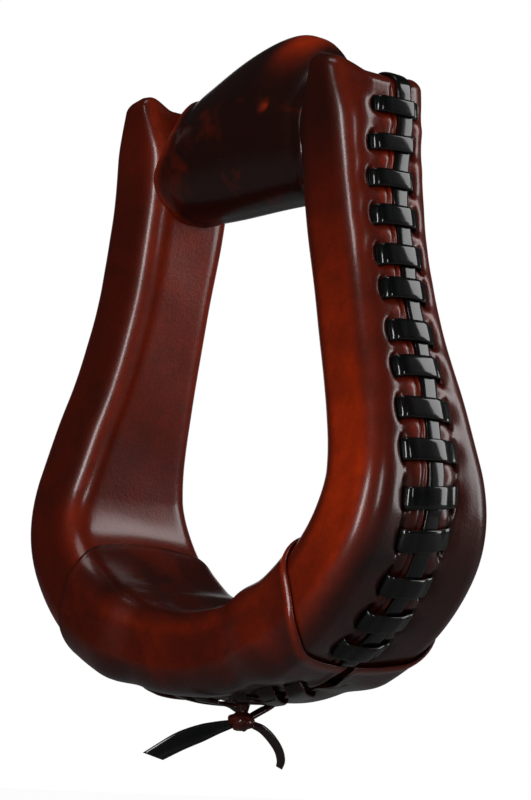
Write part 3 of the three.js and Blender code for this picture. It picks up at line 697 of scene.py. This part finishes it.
def sideLacing(name, side, node):
    # one lace: up through the front slot, over the runner and down through the back one, then
    # slanting up behind the leather to the next bar; each bar drifts and leans a little
    under = bow["leather"] + bow["laceRoom"] / 2
    stops = []

    def surface(along, across):
        # how far out the leather of the outer face lies
        return faceOut(coveredHalf, across, coverDepth(along), coveredRadius)

    def add(along, across, lift, lean=0.0):
        # a stop of the lace, lifted off that leather
        stops.append([along, across, surface(along, across) + lift, lean])

    add(stitchAlong[0] - 5.5, seamAt(0) + 1, -under)
    for i, spot in enumerate(stitchAlong):
        drift = rng.uniform(0.1, 0.9)
        lean = rng.uniform(-0.05, 0.05)
        lift = rng.uniform(0.0, 0.25)
        seam, middle, reach = seamAt(spot), stitchMiddle(spot), reachAt(spot)
        front, back = middle - reach, middle + reach
        add(spot - drift, front, -under + 0.4)
        add(spot - drift, front, -0.6, lean)
        add(spot - drift, front + 0.7, 0.6 + lift, lean)
        add(spot - 0.8 * drift, front + 0.22 * reach, 1.3 + lift, lean)
        add(spot - 0.6 * drift, front + 0.45 * reach, 1.7 + lift, lean)
        add(spot - 0.2 * drift, seam - 2.5, lacing["over"], lean)
        add(spot + 0.2 * drift, seam + 2.3, lacing["over"], lean)
        add(spot + 0.6 * drift, back - 0.35 * reach, 1.35 + lift, lean)
        add(spot + drift, back - 0.8, 0.75 + lift, lean)
        add(spot + drift, back, -0.6, lean)
        add(spot + drift, back, -under + 0.4)
        after = stitchAlong[i + 1] if i + 1 < len(stitchAlong) else spot + 5.5
        end = stitchMiddle(after) - reachAt(after) if i + 1 < len(stitchAlong) else seam + 2
        for share in (0.3, 0.5, 0.7):
            add(spot + (after - spot) * share, back + (end - back) * share, -under + 0.2)
    stops.append([spot + 5.5, seam + 2, surface(spot, seam) - under, 0.0])
    addLace(name, node, laceOnBow(stops), blackLace, side)


def seamRunner(name, side, node):
    # along the seam, then a quarter turn over the rim of the branch top by sine and cosine, and
    # its end tucked in
    top, rounding = branchTop, branchLook["topRounding"]
    lift = 0.35 + lacing["thickness"] / 2
    straight = np.arange(lacing["runnerStart"], top - rounding, 3.0)
    wobble = 0.25 * np.sin(straight / 6.5) + rng.uniform(-0.12, 0.12, len(straight))
    stops = [[a, seamAt(a) + w, coveredHalf + lift] for a, w in zip(straight, wobble)]
    seam = seamAt(top)
    for angle in np.linspace(0.25, 1, 4) * np.pi / 2:
        stops.append([top - rounding + (rounding + lift) * np.sin(angle), seam,
                      coveredHalf - rounding + (rounding + lift) * np.cos(angle)])
    stops.append([top + lift - 0.2, seam + 0.4, coveredHalf - rounding - 3.0])
    stops.append([top - 1.2, seam + 0.6, coveredHalf - rounding - 5.5])
    along, across, out = through(stops, 1.2).T
    centres = place(along, out, across)
    wides = np.broadcast_to([0.0, 1.0, 0.0], centres.shape)
    thicks = unit(np.cross(wides, np.gradient(centres, axis=0)))
    width = lacing["runnerWidth"] + 0.3 * np.sin(along / 3.7)
    runner = laceMesh(centres, wides, thicks, width, lacing["runnerThickness"])
    addLace(name, node, runner, blackLace, side)


sideLacing("LeftLacing", -1, "left_lacing")
sideLacing("RightLacing", 1, "right_lacing")
seamRunner("LeftRunner", -1, "left_runner")
seamRunner("RightRunner", 1, "right_runner")
print("side lacing made")


# Tread cover: one thick sheet wrapped from below, its edges skived round
treadLook = {
    "rows": 97,
    "counts": (22, 12, 10, 30),
    "thickness": 3.0,
    "skive": (0.42, 24, 48),  # share that is left of the thickness, and where it thins out
    "edge": 58.3,
    "sweep": 14.7,
    "round": 0.5,
    "rim": 1.5,
    "seamGap": 7.0,
    "closing": (0.55, 32, 46),  # share that the seam's gap loses, and where
    "ramp": (21, 36),
    "stitches": (8, 19, 30),
    "reach": 9.0,
    "laceWidth": 6.2,
    "laceThickness": 1.25,
    "roll": (0.1, 0.35),  # along the left and the right cut end
    "slim": (1.3, 32, 13),  # how much leaner the underside is, where along, and how widely
    "raised": 0.9,
    "dish": (1.1, -8, 6),
    "slotDepth": 2.0,
    "pull": 0.9,
    "puff": 0.8,
    # patches: painted light on the front and on the front of the right end; painted shade on the top, the
    # underside and the left end
    "patches": [
        (0, -108, 60, 22, 0.25), (0, 180, 60, 44, -0.75), (0, -5, 60, 66, -0.9),
        (-44, -150, 16, 50, -0.4), (44, -100, 14, 40, 0.2)],
}


def treadSection(along, inside):
    # wood plus lace room in the middle, branch leather plus seat at the ends, and on the outside
    # the thickness of the sheet too
    depth = woodDepth(along)
    share = smooth(np.abs(along), *treadLook["ramp"])
    thin, thinFrom, thinTo = treadLook["skive"]
    thickness = treadLook["thickness"] * (1 - (1 - thin) * smooth(np.abs(along), thinFrom, thinTo))
    extra = share * (bow["leather"] + bow["seat"]) + (0 if inside else thickness)
    seat = bow["seat"]
    half = bow["woodHalf"] + bow["laceRoom"] / 2 + seat
    return half + extra, depth + seat + extra, bow["woodRadius"] + seat + extra


def opened(grid, sign=1):
    # the closed ring is opened at the seam: its first column comes again on the far side
    return np.concatenate([grid, sign * grid[:, :1]], 1)


def treadRings():
    # rows go along the tread as a sine, so they crowd at its ends; every column ends where the
    # cut edge sweeps in underneath, and the columns of the underside keep out of the seam's gap
    shares = np.sin(np.linspace(-np.pi / 2, np.pi / 2, treadLook["rows"]))
    half, depth, radius = treadSection(np.array([treadLook["edge"]]), False)
    out, across, nOut, nAcross = roundedRing(half, half, depth, radius, treadLook["counts"], 0)
    outward, sideways = out[0] / half, across[0] / depth
    ends = treadLook["edge"] - treadLook["sweep"] * outward * (1 - treadLook["round"] * sideways ** 2)
    along = shares[:, None] * ends[None, :]
    lost, lossFrom, lossTo = treadLook["closing"]
    gap = treadLook["seamGap"] / 2 * (1 - lost * smooth(np.abs(along), lossFrom, lossTo))
    skins = []
    for inside in (False, True):
        half, depth, radius = treadSection(along, inside)
        out, across, nOut, nAcross = roundedRing(half, half, depth, radius, treadLook["counts"], 0)
        flat = depth - radius
        squeezed = np.sign(across) * (gap + np.abs(across) * (flat - gap) / flat)
        squeezed[:, 0] = gap[:, 0]
        across = np.where(nOut > 0.999, squeezed, across)
        skins.append((opened(out), opened(across, -1)))
    endDistance = (1 - np.abs(shares))[:, None] * opened(ends[None, :])
    return opened(along), endDistance, skins, opened(nOut), opened(nAcross)


def treadRelief(along, across, nOut, nAcross, endDistance):
    # height over the smooth sheet: a roll along the cut ends, a slimmer underside, a top that is
    # dished behind a raised front edge, a funnel and a soft pull at each slot, puffs between the
    # stitches, and slow waves. The slots come back as a mask too, which paints shade in them
    roll = np.where(along > 0, treadLook["roll"][1], treadLook["roll"][0])
    relief = roll * bell(endDistance - 1.6, 1.3)
    slim, slimAt, slimOver = treadLook["slim"]
    relief = relief - slim * bell(np.abs(along) - slimAt, slimOver) * smooth(nOut, -0.1, 0.6)
    middle = 1 - smooth(np.abs(along), 22, 44)
    relief = relief + treadLook["raised"] * middle * bell(nOut + 0.72, 0.2) * (nAcross < 0)
    dish, dishAt, dishOver = treadLook["dish"]
    relief = relief - dish * middle * bell(across - dishAt, dishOver) * (nOut < -0.95)
    under = nOut > 0.5
    hollowShade = np.zeros_like(relief)
    for spot in treadLook["stitches"]:
        for alongSign, acrossSign in ((-1, -1), (-1, 1), (1, -1), (1, 1)):
            beside = along - alongSign * spot
            past = across - acrossSign * treadLook["reach"]
            funnel = bell(beside, 3.4, 6) * bell(past, 1.1)
            soft = bell(beside, 5) * bell(past, 4.5)
            relief = relief - (treadLook["slotDepth"] * funnel + treadLook["pull"] * soft) * under
            hollowShade = hollowShade + (funnel + 0.3 * soft) * under
    puff = bell(np.abs(across) - 5.5, 2.6) * under
    relief = relief + treadLook["puff"] * puff * np.cos(along / 11 * 2 * np.pi) * (np.abs(along) < 36)
    phase = rng.uniform(0, 6.28, 4)
    relief = relief + 0.16 * np.sin(along / 9 + phase[0]) * np.cos(across / 11 + phase[1])
    relief = relief + 0.12 * np.sin(along / 4.7 + across / 6 + phase[2])
    return relief, hollowShade


def treadCover():
    # from the middle between the two skins the outer one goes out by half the thickness and the
    # relief, and the inner one in by half the thickness; both meet in a half round along the cut
    along, endDistance, skins, nOut, nAcross = treadRings()
    (outerOut, outerAcross), (innerOut, innerAcross) = skins
    middleOut = (outerOut + innerOut) / 2
    middleAcross = (outerAcross + innerAcross) / 2
    lipDistance = np.minimum(np.abs(np.abs(outerAcross) - treadLook["seamGap"] / 2), 9)
    lipDistance = np.where(nOut > 0.999, lipDistance, 9)
    fromCut = np.clip(np.minimum(endDistance, lipDistance) / treadLook["rim"], 0, 1)
    swell = np.sqrt(1 - (1 - fromCut) ** 2)
    thickness = np.hypot(outerOut - innerOut, outerAcross - innerAcross)
    half = np.minimum(thickness / 2, treadLook["thickness"] / 2) * swell
    relief, hollowShade = treadRelief(along, outerAcross, nOut, nAcross, endDistance)
    top = half + relief * fromCut
    outer = place(along, middleOut + top * nOut, middleAcross + top * nAcross)
    inner = place(along, middleOut - half * nOut, middleAcross - half * nAcross)
    # painted highlight along the right cut end, painted shade along the left one, and the patches' painted
    # light and shade
    wearAndLight = 0.5 * bell(endDistance - 1.4, 1.2) * (along > 0)
    shade = 0.6 * bell(endDistance - 0.4, 0.8) * (along < 0)
    rubbedAndLit, darker = patchwork(along, nOut, nAcross, treadLook["patches"])
    twoSkins("TreadCover", outer, inner, False, treadLeather, "tread_cover", {
        "wearAndLight": wearAndLight + rubbedAndLit, "shade": shade + darker, "hollowShade": hollowShade})


treadCover()
print("tread cover made")


# Laces under the tread, their knot and its two ends
knotLook = {
    "place": (2.8, -1.9),
    "drop": 6.7,
    "core": (3.2, 3.36, 2.56),
    "flatter": 0.74,  # height of the turns, as a share of their width
    "thickness": 1.5,
    "rings": 15,
    "columns": 24,
    "turns": [  # axis, radius, width of the lace, and where the turn begins
        ((0.9, 0.5, 0.9), 3.2, 3.0, 0.3),
        ((-0.8, 0.6, 1.0), 3.3, 2.7, 1.4),
        ((0.1, -1.0, 0.35), 2.9, 2.6, 2.2)],
    "long": [
        (-2.2, -2.2, -1.0), (-5.6, -5.3, -2.4), (-9.2, -8.9, -4.3), (-14, -13.7, -7.3),
        (-19.8, -19.2, -12.2)],
    "short": [
        (2.6, 2.9, -1.0), (4.4, 5.2, -2.3), (6, 7.6, -4.9), (7.3, 9.8, -8.4), (7.6, 10.8, -11.7),
        (7, 10.7, -14.1)],
    "endThickness": 1.2,
}


def treadSurface(along, across):
    # how far out the sheet's outside lies under the tread
    half, depth, radius = treadSection(along, False)
    return faceOut(half, across, depth, radius)


def treadLace(name, side, node, ending):
    # crosses the seam under the tread stitch by stitch; the ending's stops lead to the knot. A
    # step of 2 mm along the bow, halved, is the direction of its width
    under = treadLook["thickness"] + bow["laceRoom"] / 2
    reach = treadLook["reach"]
    stops = []

    def add(along, across, lift, width=1.0):
        # a stop of the lace, lifted off the sheet
        stops.append([side * along, across, treadSurface(along, across) + lift, width])

    add(30, -5, -under)
    order = sorted(treadLook["stitches"], reverse=True)
    for i, spot in enumerate(order):
        add(spot, -reach, -under + 0.4)
        add(spot, -reach, -0.6)
        add(spot - 0.4, -reach + 1.0, 0.75)
        if i + 1 < len(order):
            after = order[i + 1]
            add(spot + (after - spot) * 0.3, -reach * 0.4, 1.7)
            add(spot + (after - spot) * 0.7, reach * 0.4, 1.7)
            add(after + 0.4, reach - 1.0, 0.75)
            add(after, reach, -0.6)
            add(after, reach, -under + 0.4)
            add(after, 0, -under)
    for x, y, lift, width in ending:
        stops.append([x, y, treadSurface(abs(x), y) + lift, width])
    along, across, out, width = through(stops, 0.8).T
    centres = place(along, out, across)
    wides = place(along + 1, out, across) - place(along - 1, out, across)
    thicks = unit(np.cross(wides, np.gradient(centres, axis=0)))
    width = treadLook["laceWidth"] * width
    lace = laceMesh(centres, wides / 2, thicks, width, treadLook["laceThickness"])
    addLace(name, node, lace, endLace)


def knotCentre():
    # the drop below the underside of the tread
    x, y = knotLook["place"]
    under = place(x, treadSurface(x, 0), 0.0)[2]
    return np.array([x, y, under - knotLook["drop"]])


def freeEnd(name, node, route, widths, slant, look):
    # flat strip along the route, its flat side to the front and right; the last rings slide
    # along the strip by their place across it times the slant, which cuts the tip at a slant
    centre = knotCentre()
    stops = np.concatenate([np.array(route) + centre, np.array(widths)[:, None]], 1)
    path = through(stops, 0.6)
    centres, width = path[:, :3], path[:, 3]
    heading = unit(np.gradient(centres, axis=0))
    wides = unit(np.cross([1.0, -1.0, 0.0], heading))
    thicks = np.cross(wides, heading)
    points, quads, rim = laceMesh(centres, wides, thicks, width, knotLook["endThickness"])
    rings = points.reshape(-1, laceSides, 3)
    reach = np.linspace(0, 1, len(rings)) ** 8
    acrossTip = np.einsum("rsk,k->rs", rings - rings.mean(1, keepdims=True), wides[-1])
    rings = rings + (reach[:, None] * acrossTip * slant)[..., None] * heading[-1]
    addLace(name, node, (rings.reshape(-1, 3), quads, rim), look)


def knot():
    # three turns of lace, each a tilted and uneven circle, round a small core that is an
    # ellipsoid, under a neck of narrowing rings that reaches up to the tread
    centre = knotCentre()
    rows, columns = knotLook["rings"], knotLook["columns"]
    parts = []
    for axis, radius, width, phase in knotLook["turns"]:
        axis = unit(np.array(axis))
        first = unit(np.cross(axis, [0.3, 0.2, 0.9]))
        second = np.cross(axis, first)
        share = np.linspace(0, 1, 72)
        t = 2 * np.pi * 1.06 * share + phase
        grow = radius + 0.35 * np.sin(2 * t + phase) + 0.25 * share
        arms = grow[:, None] * (np.cos(t)[:, None] * first + np.sin(t)[:, None] * second)
        arms = (arms + (0.5 * np.sin(3 * t))[:, None] * axis) * [1, 1, knotLook["flatter"]]
        wides = np.broadcast_to(axis, arms.shape)
        parts.append(laceMesh(centre + arms, wides, unit(arms), width, knotLook["thickness"]))
    down = np.linspace(0, np.pi, rows)[:, None]
    around = (np.arange(columns) / columns * 2 * np.pi)[None, :]
    a, b, c = knotLook["core"]
    wide = np.sin(down)
    core = stacked(a * wide * np.cos(around), b * wide * np.sin(around), c * np.cos(down))
    height = np.linspace(0, knotLook["drop"] - 1.2, rows - 1)[:, None]
    radius = 2.5 - 0.5 * np.sin(height / 5 * np.pi) + 0.25 * np.cos(3 * around + height)
    neck = stacked(radius * np.cos(around) * 1.1, radius * np.sin(around) * 0.8, height)
    ends = [neck[k:k + 1].mean(1, keepdims=True).repeat(columns, 1) for k in (0, rows - 2)]
    for form in (core, np.concatenate([ends[0], neck, ends[1]])):
        points = (form + centre).reshape(-1, 3)
        parts.append((points, gridQuads(len(form), columns), np.zeros(len(points))))
    firsts = np.cumsum([0] + [len(points) for points, quads, rim in parts[:-1]])
    addLace("TreadKnot", "tread_knot", (
        np.concatenate([points for points, quads, rim in parts]),
        np.concatenate([quads + first for (points, quads, rim), first in zip(parts, firsts)]),
        np.concatenate([np.ravel(rim) for points, quads, rim in parts])), tieLace)


treadLace("TreadLaceLeft", -1, "tread_lace_left", [
    (-5.8, -6.0, 1.0, 0.85), (-0.4, -4.0, 1.8, 0.6), (1.6, -2.2, 3.4, 0.5)])
treadLace("TreadLaceRight", 1, "tread_lace_right", [
    (9.5, -4.5, 1.2, 0.9), (10.6, 2.0, 1.3, 0.9), (8.4, 2.6, 2.4, 0.9), (5.8, 1.0, 4.2, 0.8),
    (3.8, -0.8, 6.0, 0.6)])
knot()
freeEnd("LongLaceEnd", "lace_tail_long", knotLook["long"], [2.8, 4.2, 5.6, 6.0, 5.2], -1.0, blackLace)
freeEnd("ShortLaceEnd", "lace_tail_short", knotLook["short"], [2.4, 2.8, 3.0, 2.9, 2.8, 2.2], 0.3, endLace)
print("tread laces and knot made")


# Neck sleeve between the branches, its ends rolled onto them
neckLook = {
    "endHeight": 42.8,
    "crown": 15.0,
    "skew": 0.6,
    "halfDepth": 17.5,
    "taper": 0.35,
    "narrowing": 0.08,
    "setback": 5.0,
    "rise": 1.2,
    "reach": 35.2,
    "sides": 120,
    "rows": 90,
    "lip": 1.6,
    "leather": 3.0,
    "search": (20.0, 42.0),  # the ends lie between these distances from the middle
    "sunk": 1.2,  # how deep the ends are sunk in the branch leather
    "crease": (16.0, 30.5),
    "creaseHalf": (1.8, 1.9),
    "seamHeight": 24,
}


def neckPoint(x, angle):
    # pear-shaped section: height follows minus the cosine, depth the sine, fuller low down; the
    # top is a parabola along x that is skewed to the right
    share = x / neckLook["reach"]
    top = neckLook["endHeight"] + neckLook["crown"] * (1 - share ** 2) * (1 + neckLook["skew"] * share)
    low = np.cos(np.pi / 22)
    level = np.clip((low - np.cos(angle)) / (2 * low), 0, 1)
    bottom = neckLook["rise"] * smooth(x, -20, 34)
    height = bottom + (top - bottom) * level
    lean = neckLook["setback"] * (height / (neckLook["endHeight"] + neckLook["crown"])) ** 2
    depth = neckLook["halfDepth"] * (1 - neckLook["narrowing"] * share ** 4)
    across = depth * np.sin(angle) * (1 + neckLook["taper"] * np.cos(angle))
    return stacked(x, lean - across, height)


def cornerDistance(a, b):
    # to a square corner: the slant outside it, and inside it the greater of the two
    return np.hypot(np.maximum(a, 0), np.maximum(b, 0)) + np.minimum(np.maximum(a, b), 0)


def branchDistance(points):
    # signed distance to a covered branch: the shaping of its top is taken back first, then the
    # distances past the flats, out and across, give that to a rounded oblong, and this one with
    # the distance past the top gives that to its rounded end
    table = np.linspace(150, bowLength + 20, 400)
    lowered = np.interp(points[..., 2], bowLine(table)[1], table)
    x, _, nx, _ = bowLine(lowered)
    out = (np.abs(points[..., 0]) - x) * nx
    across = points[..., 1]
    pulled = np.where(out < 0, branchEnd["lean"], branchEnd["pinch"] * frontShare(across))
    out = out / (1 - topShare(lowered) / coveredHalf * pulled)
    along = lowered
    for _ in range(12):
        along = lowered + topDip(out, across) * topShare(along)
    pastOut = np.abs(out) - (coveredHalf - coveredRadius)
    pastAcross = np.abs(across) - (coverDepth(along) - coveredRadius)
    rounding = branchLook["topRounding"]
    pastSide = cornerDistance(pastOut, pastAcross) - coveredRadius + rounding
    return cornerDistance(pastSide, along - branchTop + rounding) - rounding


def neckEnds(angle):
    # how far out each column of the sleeve ends: halving the search finds where it is sunk in
    # the branch leather
    low, high = [np.full(len(angle), limit) for limit in neckLook["search"]]
    for _ in range(30):
        middle = (low + high) / 2
        inside = branchDistance(neckPoint(middle, angle)) < -neckLook["sunk"]
        high = np.where(inside, middle, high)
        low = np.where(inside, low, middle)
    return (low + high) / 2


def neckCover():
    # rows go across as a sine, so they crowd at the ends. Both skins lie half the leather off
    # its middle, and the relief is a rolled end, a small crease in front, slow waves, and the
    # hollow of the seam behind
    angle = np.arange(neckLook["sides"]) / neckLook["sides"] * 2 * np.pi
    ends = neckEnds(angle)
    shares = np.sin(np.linspace(-np.pi / 2, np.pi / 2, neckLook["rows"]))
    x = shares[:, None] * ends[None, :]
    outer = neckPoint(x, angle[None, :])
    normal = np.cross(np.gradient(outer, axis=0), np.roll(outer, -1, 1) - np.roll(outer, 1, 1))
    centre = outer.mean(1, keepdims=True)
    normal = unit(normal) * np.sign(np.sum(normal * (outer - centre), 2, keepdims=True))
    endDistance = (1 - np.abs(shares))[:, None] * ends[None, :]
    swell = np.sqrt(1 - (1 - np.clip(endDistance / neckLook["lip"], 0, 1)) ** 2)
    relief = 0.5 * bell(endDistance - 2.2, 1.5) - 0.35 * bell(endDistance - 6, 2.0)
    (creaseX, creaseZ), (halfX, halfZ) = neckLook["crease"], neckLook["creaseHalf"]
    crease = np.hypot((x - creaseX) / halfX, (outer[..., 2] - creaseZ) / halfZ)
    front = outer[..., 1] < 0
    relief = relief + front * (0.5 * bell(crease - 1.7, np.sqrt(1 / 3)) - 0.8 * bell(crease, 1))
    phase = rng.uniform(0, 6.28, 4)
    relief = relief + 0.3 * np.sin(x / 9 + phase[0]) * np.cos(outer[..., 2] / 8 + phase[1])
    seamHollow = (outer[..., 1] > 0) * bell(outer[..., 2] - neckLook["seamHeight"], 0.7)
    relief = relief - 1.2 * seamHollow
    half = neckLook["leather"] / 2
    middle = outer - normal * half
    outerSkin = middle + normal * ((half + relief) * swell)[..., None]
    innerSkin = middle - normal * (half * swell)[..., None]
    # the leather is rubbed on its crest; the spot in the crease and the line along the left end are
    # painted highlights, and the seam's hollow gets painted shade
    wearAndLight = bell(outer[..., 2] - 57, 9) * smooth(x, 4, 18) * (1 - smooth(x, 21, 29))
    wearAndLight = wearAndLight + 0.7 * bell(crease, np.sqrt(2 / 3)) * front
    wearAndLight = wearAndLight + 0.45 * bell(endDistance - 2, 1.5) * (x < 0)
    twoSkins("NeckCover", outerSkin, innerSkin, True, neckLeather, "neck_cover", {
        "wearAndLight": wearAndLight, "hollowShade": seamHollow * 0.7})


neckCover()
print("neck cover made")


# Studio: pale floor under the hanging stirrup, white all round, large soft lamps
studio = {
    "floorHeight": -0.30,
    "floorHalf": 12.0,
    "floorGlow": 0.97,
    "surround": 0.08,
    "dull": 0.02,
    "behind": (-0.729, 0.671, 0.134),
    "behindReach": (0.93, 0.995),
    "target": (0.0, 0.0, -0.06),
    "lamps": [  # place, width, height and power
        ((0.45, -1.42, 0.18), 0.18, 0.80, 13.5),
        ((1.38, -0.52, 0.22), 0.14, 0.60, 5.5),
        ((0.82, 1.17, 0.40), 0.50, 1.20, 14),
        ((0.25, -0.50, 1.25), 0.50, 0.50, 4),
    ],
}


def rays(g):
    # 1 for a ray of the camera, of a gloss and of glass, and otherwise 0
    kinds = ("Is Camera Ray", "Is Glossy Ray", "Is Transmission Ray")
    return [g.node("ShaderNodeLightPath", output=kind) for kind in kinds]


def studioWorld():
    # the camera and glass see a world of strength 1, which is white. Gloss sees it where it
    # stands behind the object in the photograph, and a dull one elsewhere
    world = bpy.data.worlds.new("Studio")
    g = Graph("Surround", world)
    plain, dull, white = [
        g.node("ShaderNodeBackground", {}, {"Color": (1, 1, 1, 1), "Strength": strength})
        for strength in (studio["surround"], studio["dull"], 1.0)]
    toward = g.node("ShaderNodeTexCoord", output="Generated")
    behind = g.node("ShaderNodeVectorMath", {"operation": "DOT_PRODUCT"}, {
        0: toward, 1: studio["behind"]}, "Value").between(*studio["behindReach"])
    seen, glossy, clear = rays(g)
    around = g.mixShader(glossy, plain, dull)
    return g.show(g.mixShader(seen + clear + glossy * behind, around, white))


def studioFloor():
    # the camera sees glowing paper with a soft shadow on it; other rays see a matt floor that
    # throws little light back at the underside
    g = Graph("StudioFloor")
    paper, matt = [
        g.node("ShaderNodeBsdfPrincipled", {}, {"Base Color": (shade, shade, shade, 1), "Roughness": 0.8})
        for shade in (0.85, 0.2)]
    glow = g.node("ShaderNodeEmission", {}, {"Color": (1, 1, 1, 1), "Strength": 1.0})
    seen, glossy, clear = rays(g)
    shown = g.mixShader(studio["floorGlow"], paper, glow)
    g.show(g.mixShader(seen + clear + glossy * 0.05, matt, shown))
    half, level = studio["floorHalf"], studio["floorHeight"]
    corners = [(-half, -half, level), (half, -half, level), (half, half, level), (-half, half, level)]
    mesh = bpy.data.meshes.new("Floor")
    mesh.from_pydata(corners, [], [(0, 1, 2, 3)])
    mesh.materials.append(g.owner)
    floor = bpy.data.objects.new("Floor", mesh)
    bpy.context.scene.collection.objects.link(floor)


def standing(name, data, right, up, back, spot):
    # the object's own axes and its place are the columns of its matrix
    made = bpy.data.objects.new(name, data)
    axes = np.column_stack([right, up, back, spot])
    made.matrix_world = Matrix(np.vstack([axes, [0, 0, 0, 1]]).tolist())
    bpy.context.scene.collection.objects.link(made)
    return made


def softLamp(name, spot, width, height, power):
    # an upright rectangle that faces the target
    lamp = bpy.data.lights.new(name, "AREA")
    lamp.shape = "RECTANGLE"
    lamp.size = width
    lamp.size_y = height
    lamp.energy = power
    away = unit(np.array(spot) - np.array(studio["target"]))
    right = unit(np.cross([0, 0, 1], away))
    standing(name, lamp, right, np.cross(away, right), away, spot)


def photoCamera():
    # back, away from what it looks at, is right crossed with up
    lens = bpy.data.cameras.new("PhotoCamera")
    lens.lens = camera["lens"]
    lens.sensor_width = 36
    lens.clip_end = 20
    right, up = np.array(camera["right"]), np.array(camera["up"])
    return standing("PhotoCamera", lens, right, up, np.cross(right, up), camera["place"])


bpy.context.scene.view_settings.view_transform = "Standard"
bpy.context.scene.world = studioWorld()
studioFloor()
for i, lampValues in enumerate(studio["lamps"]):
    softLamp(f"Lamp{i}", *lampValues)
bpy.context.scene.camera = photoCamera()
print("studio made")
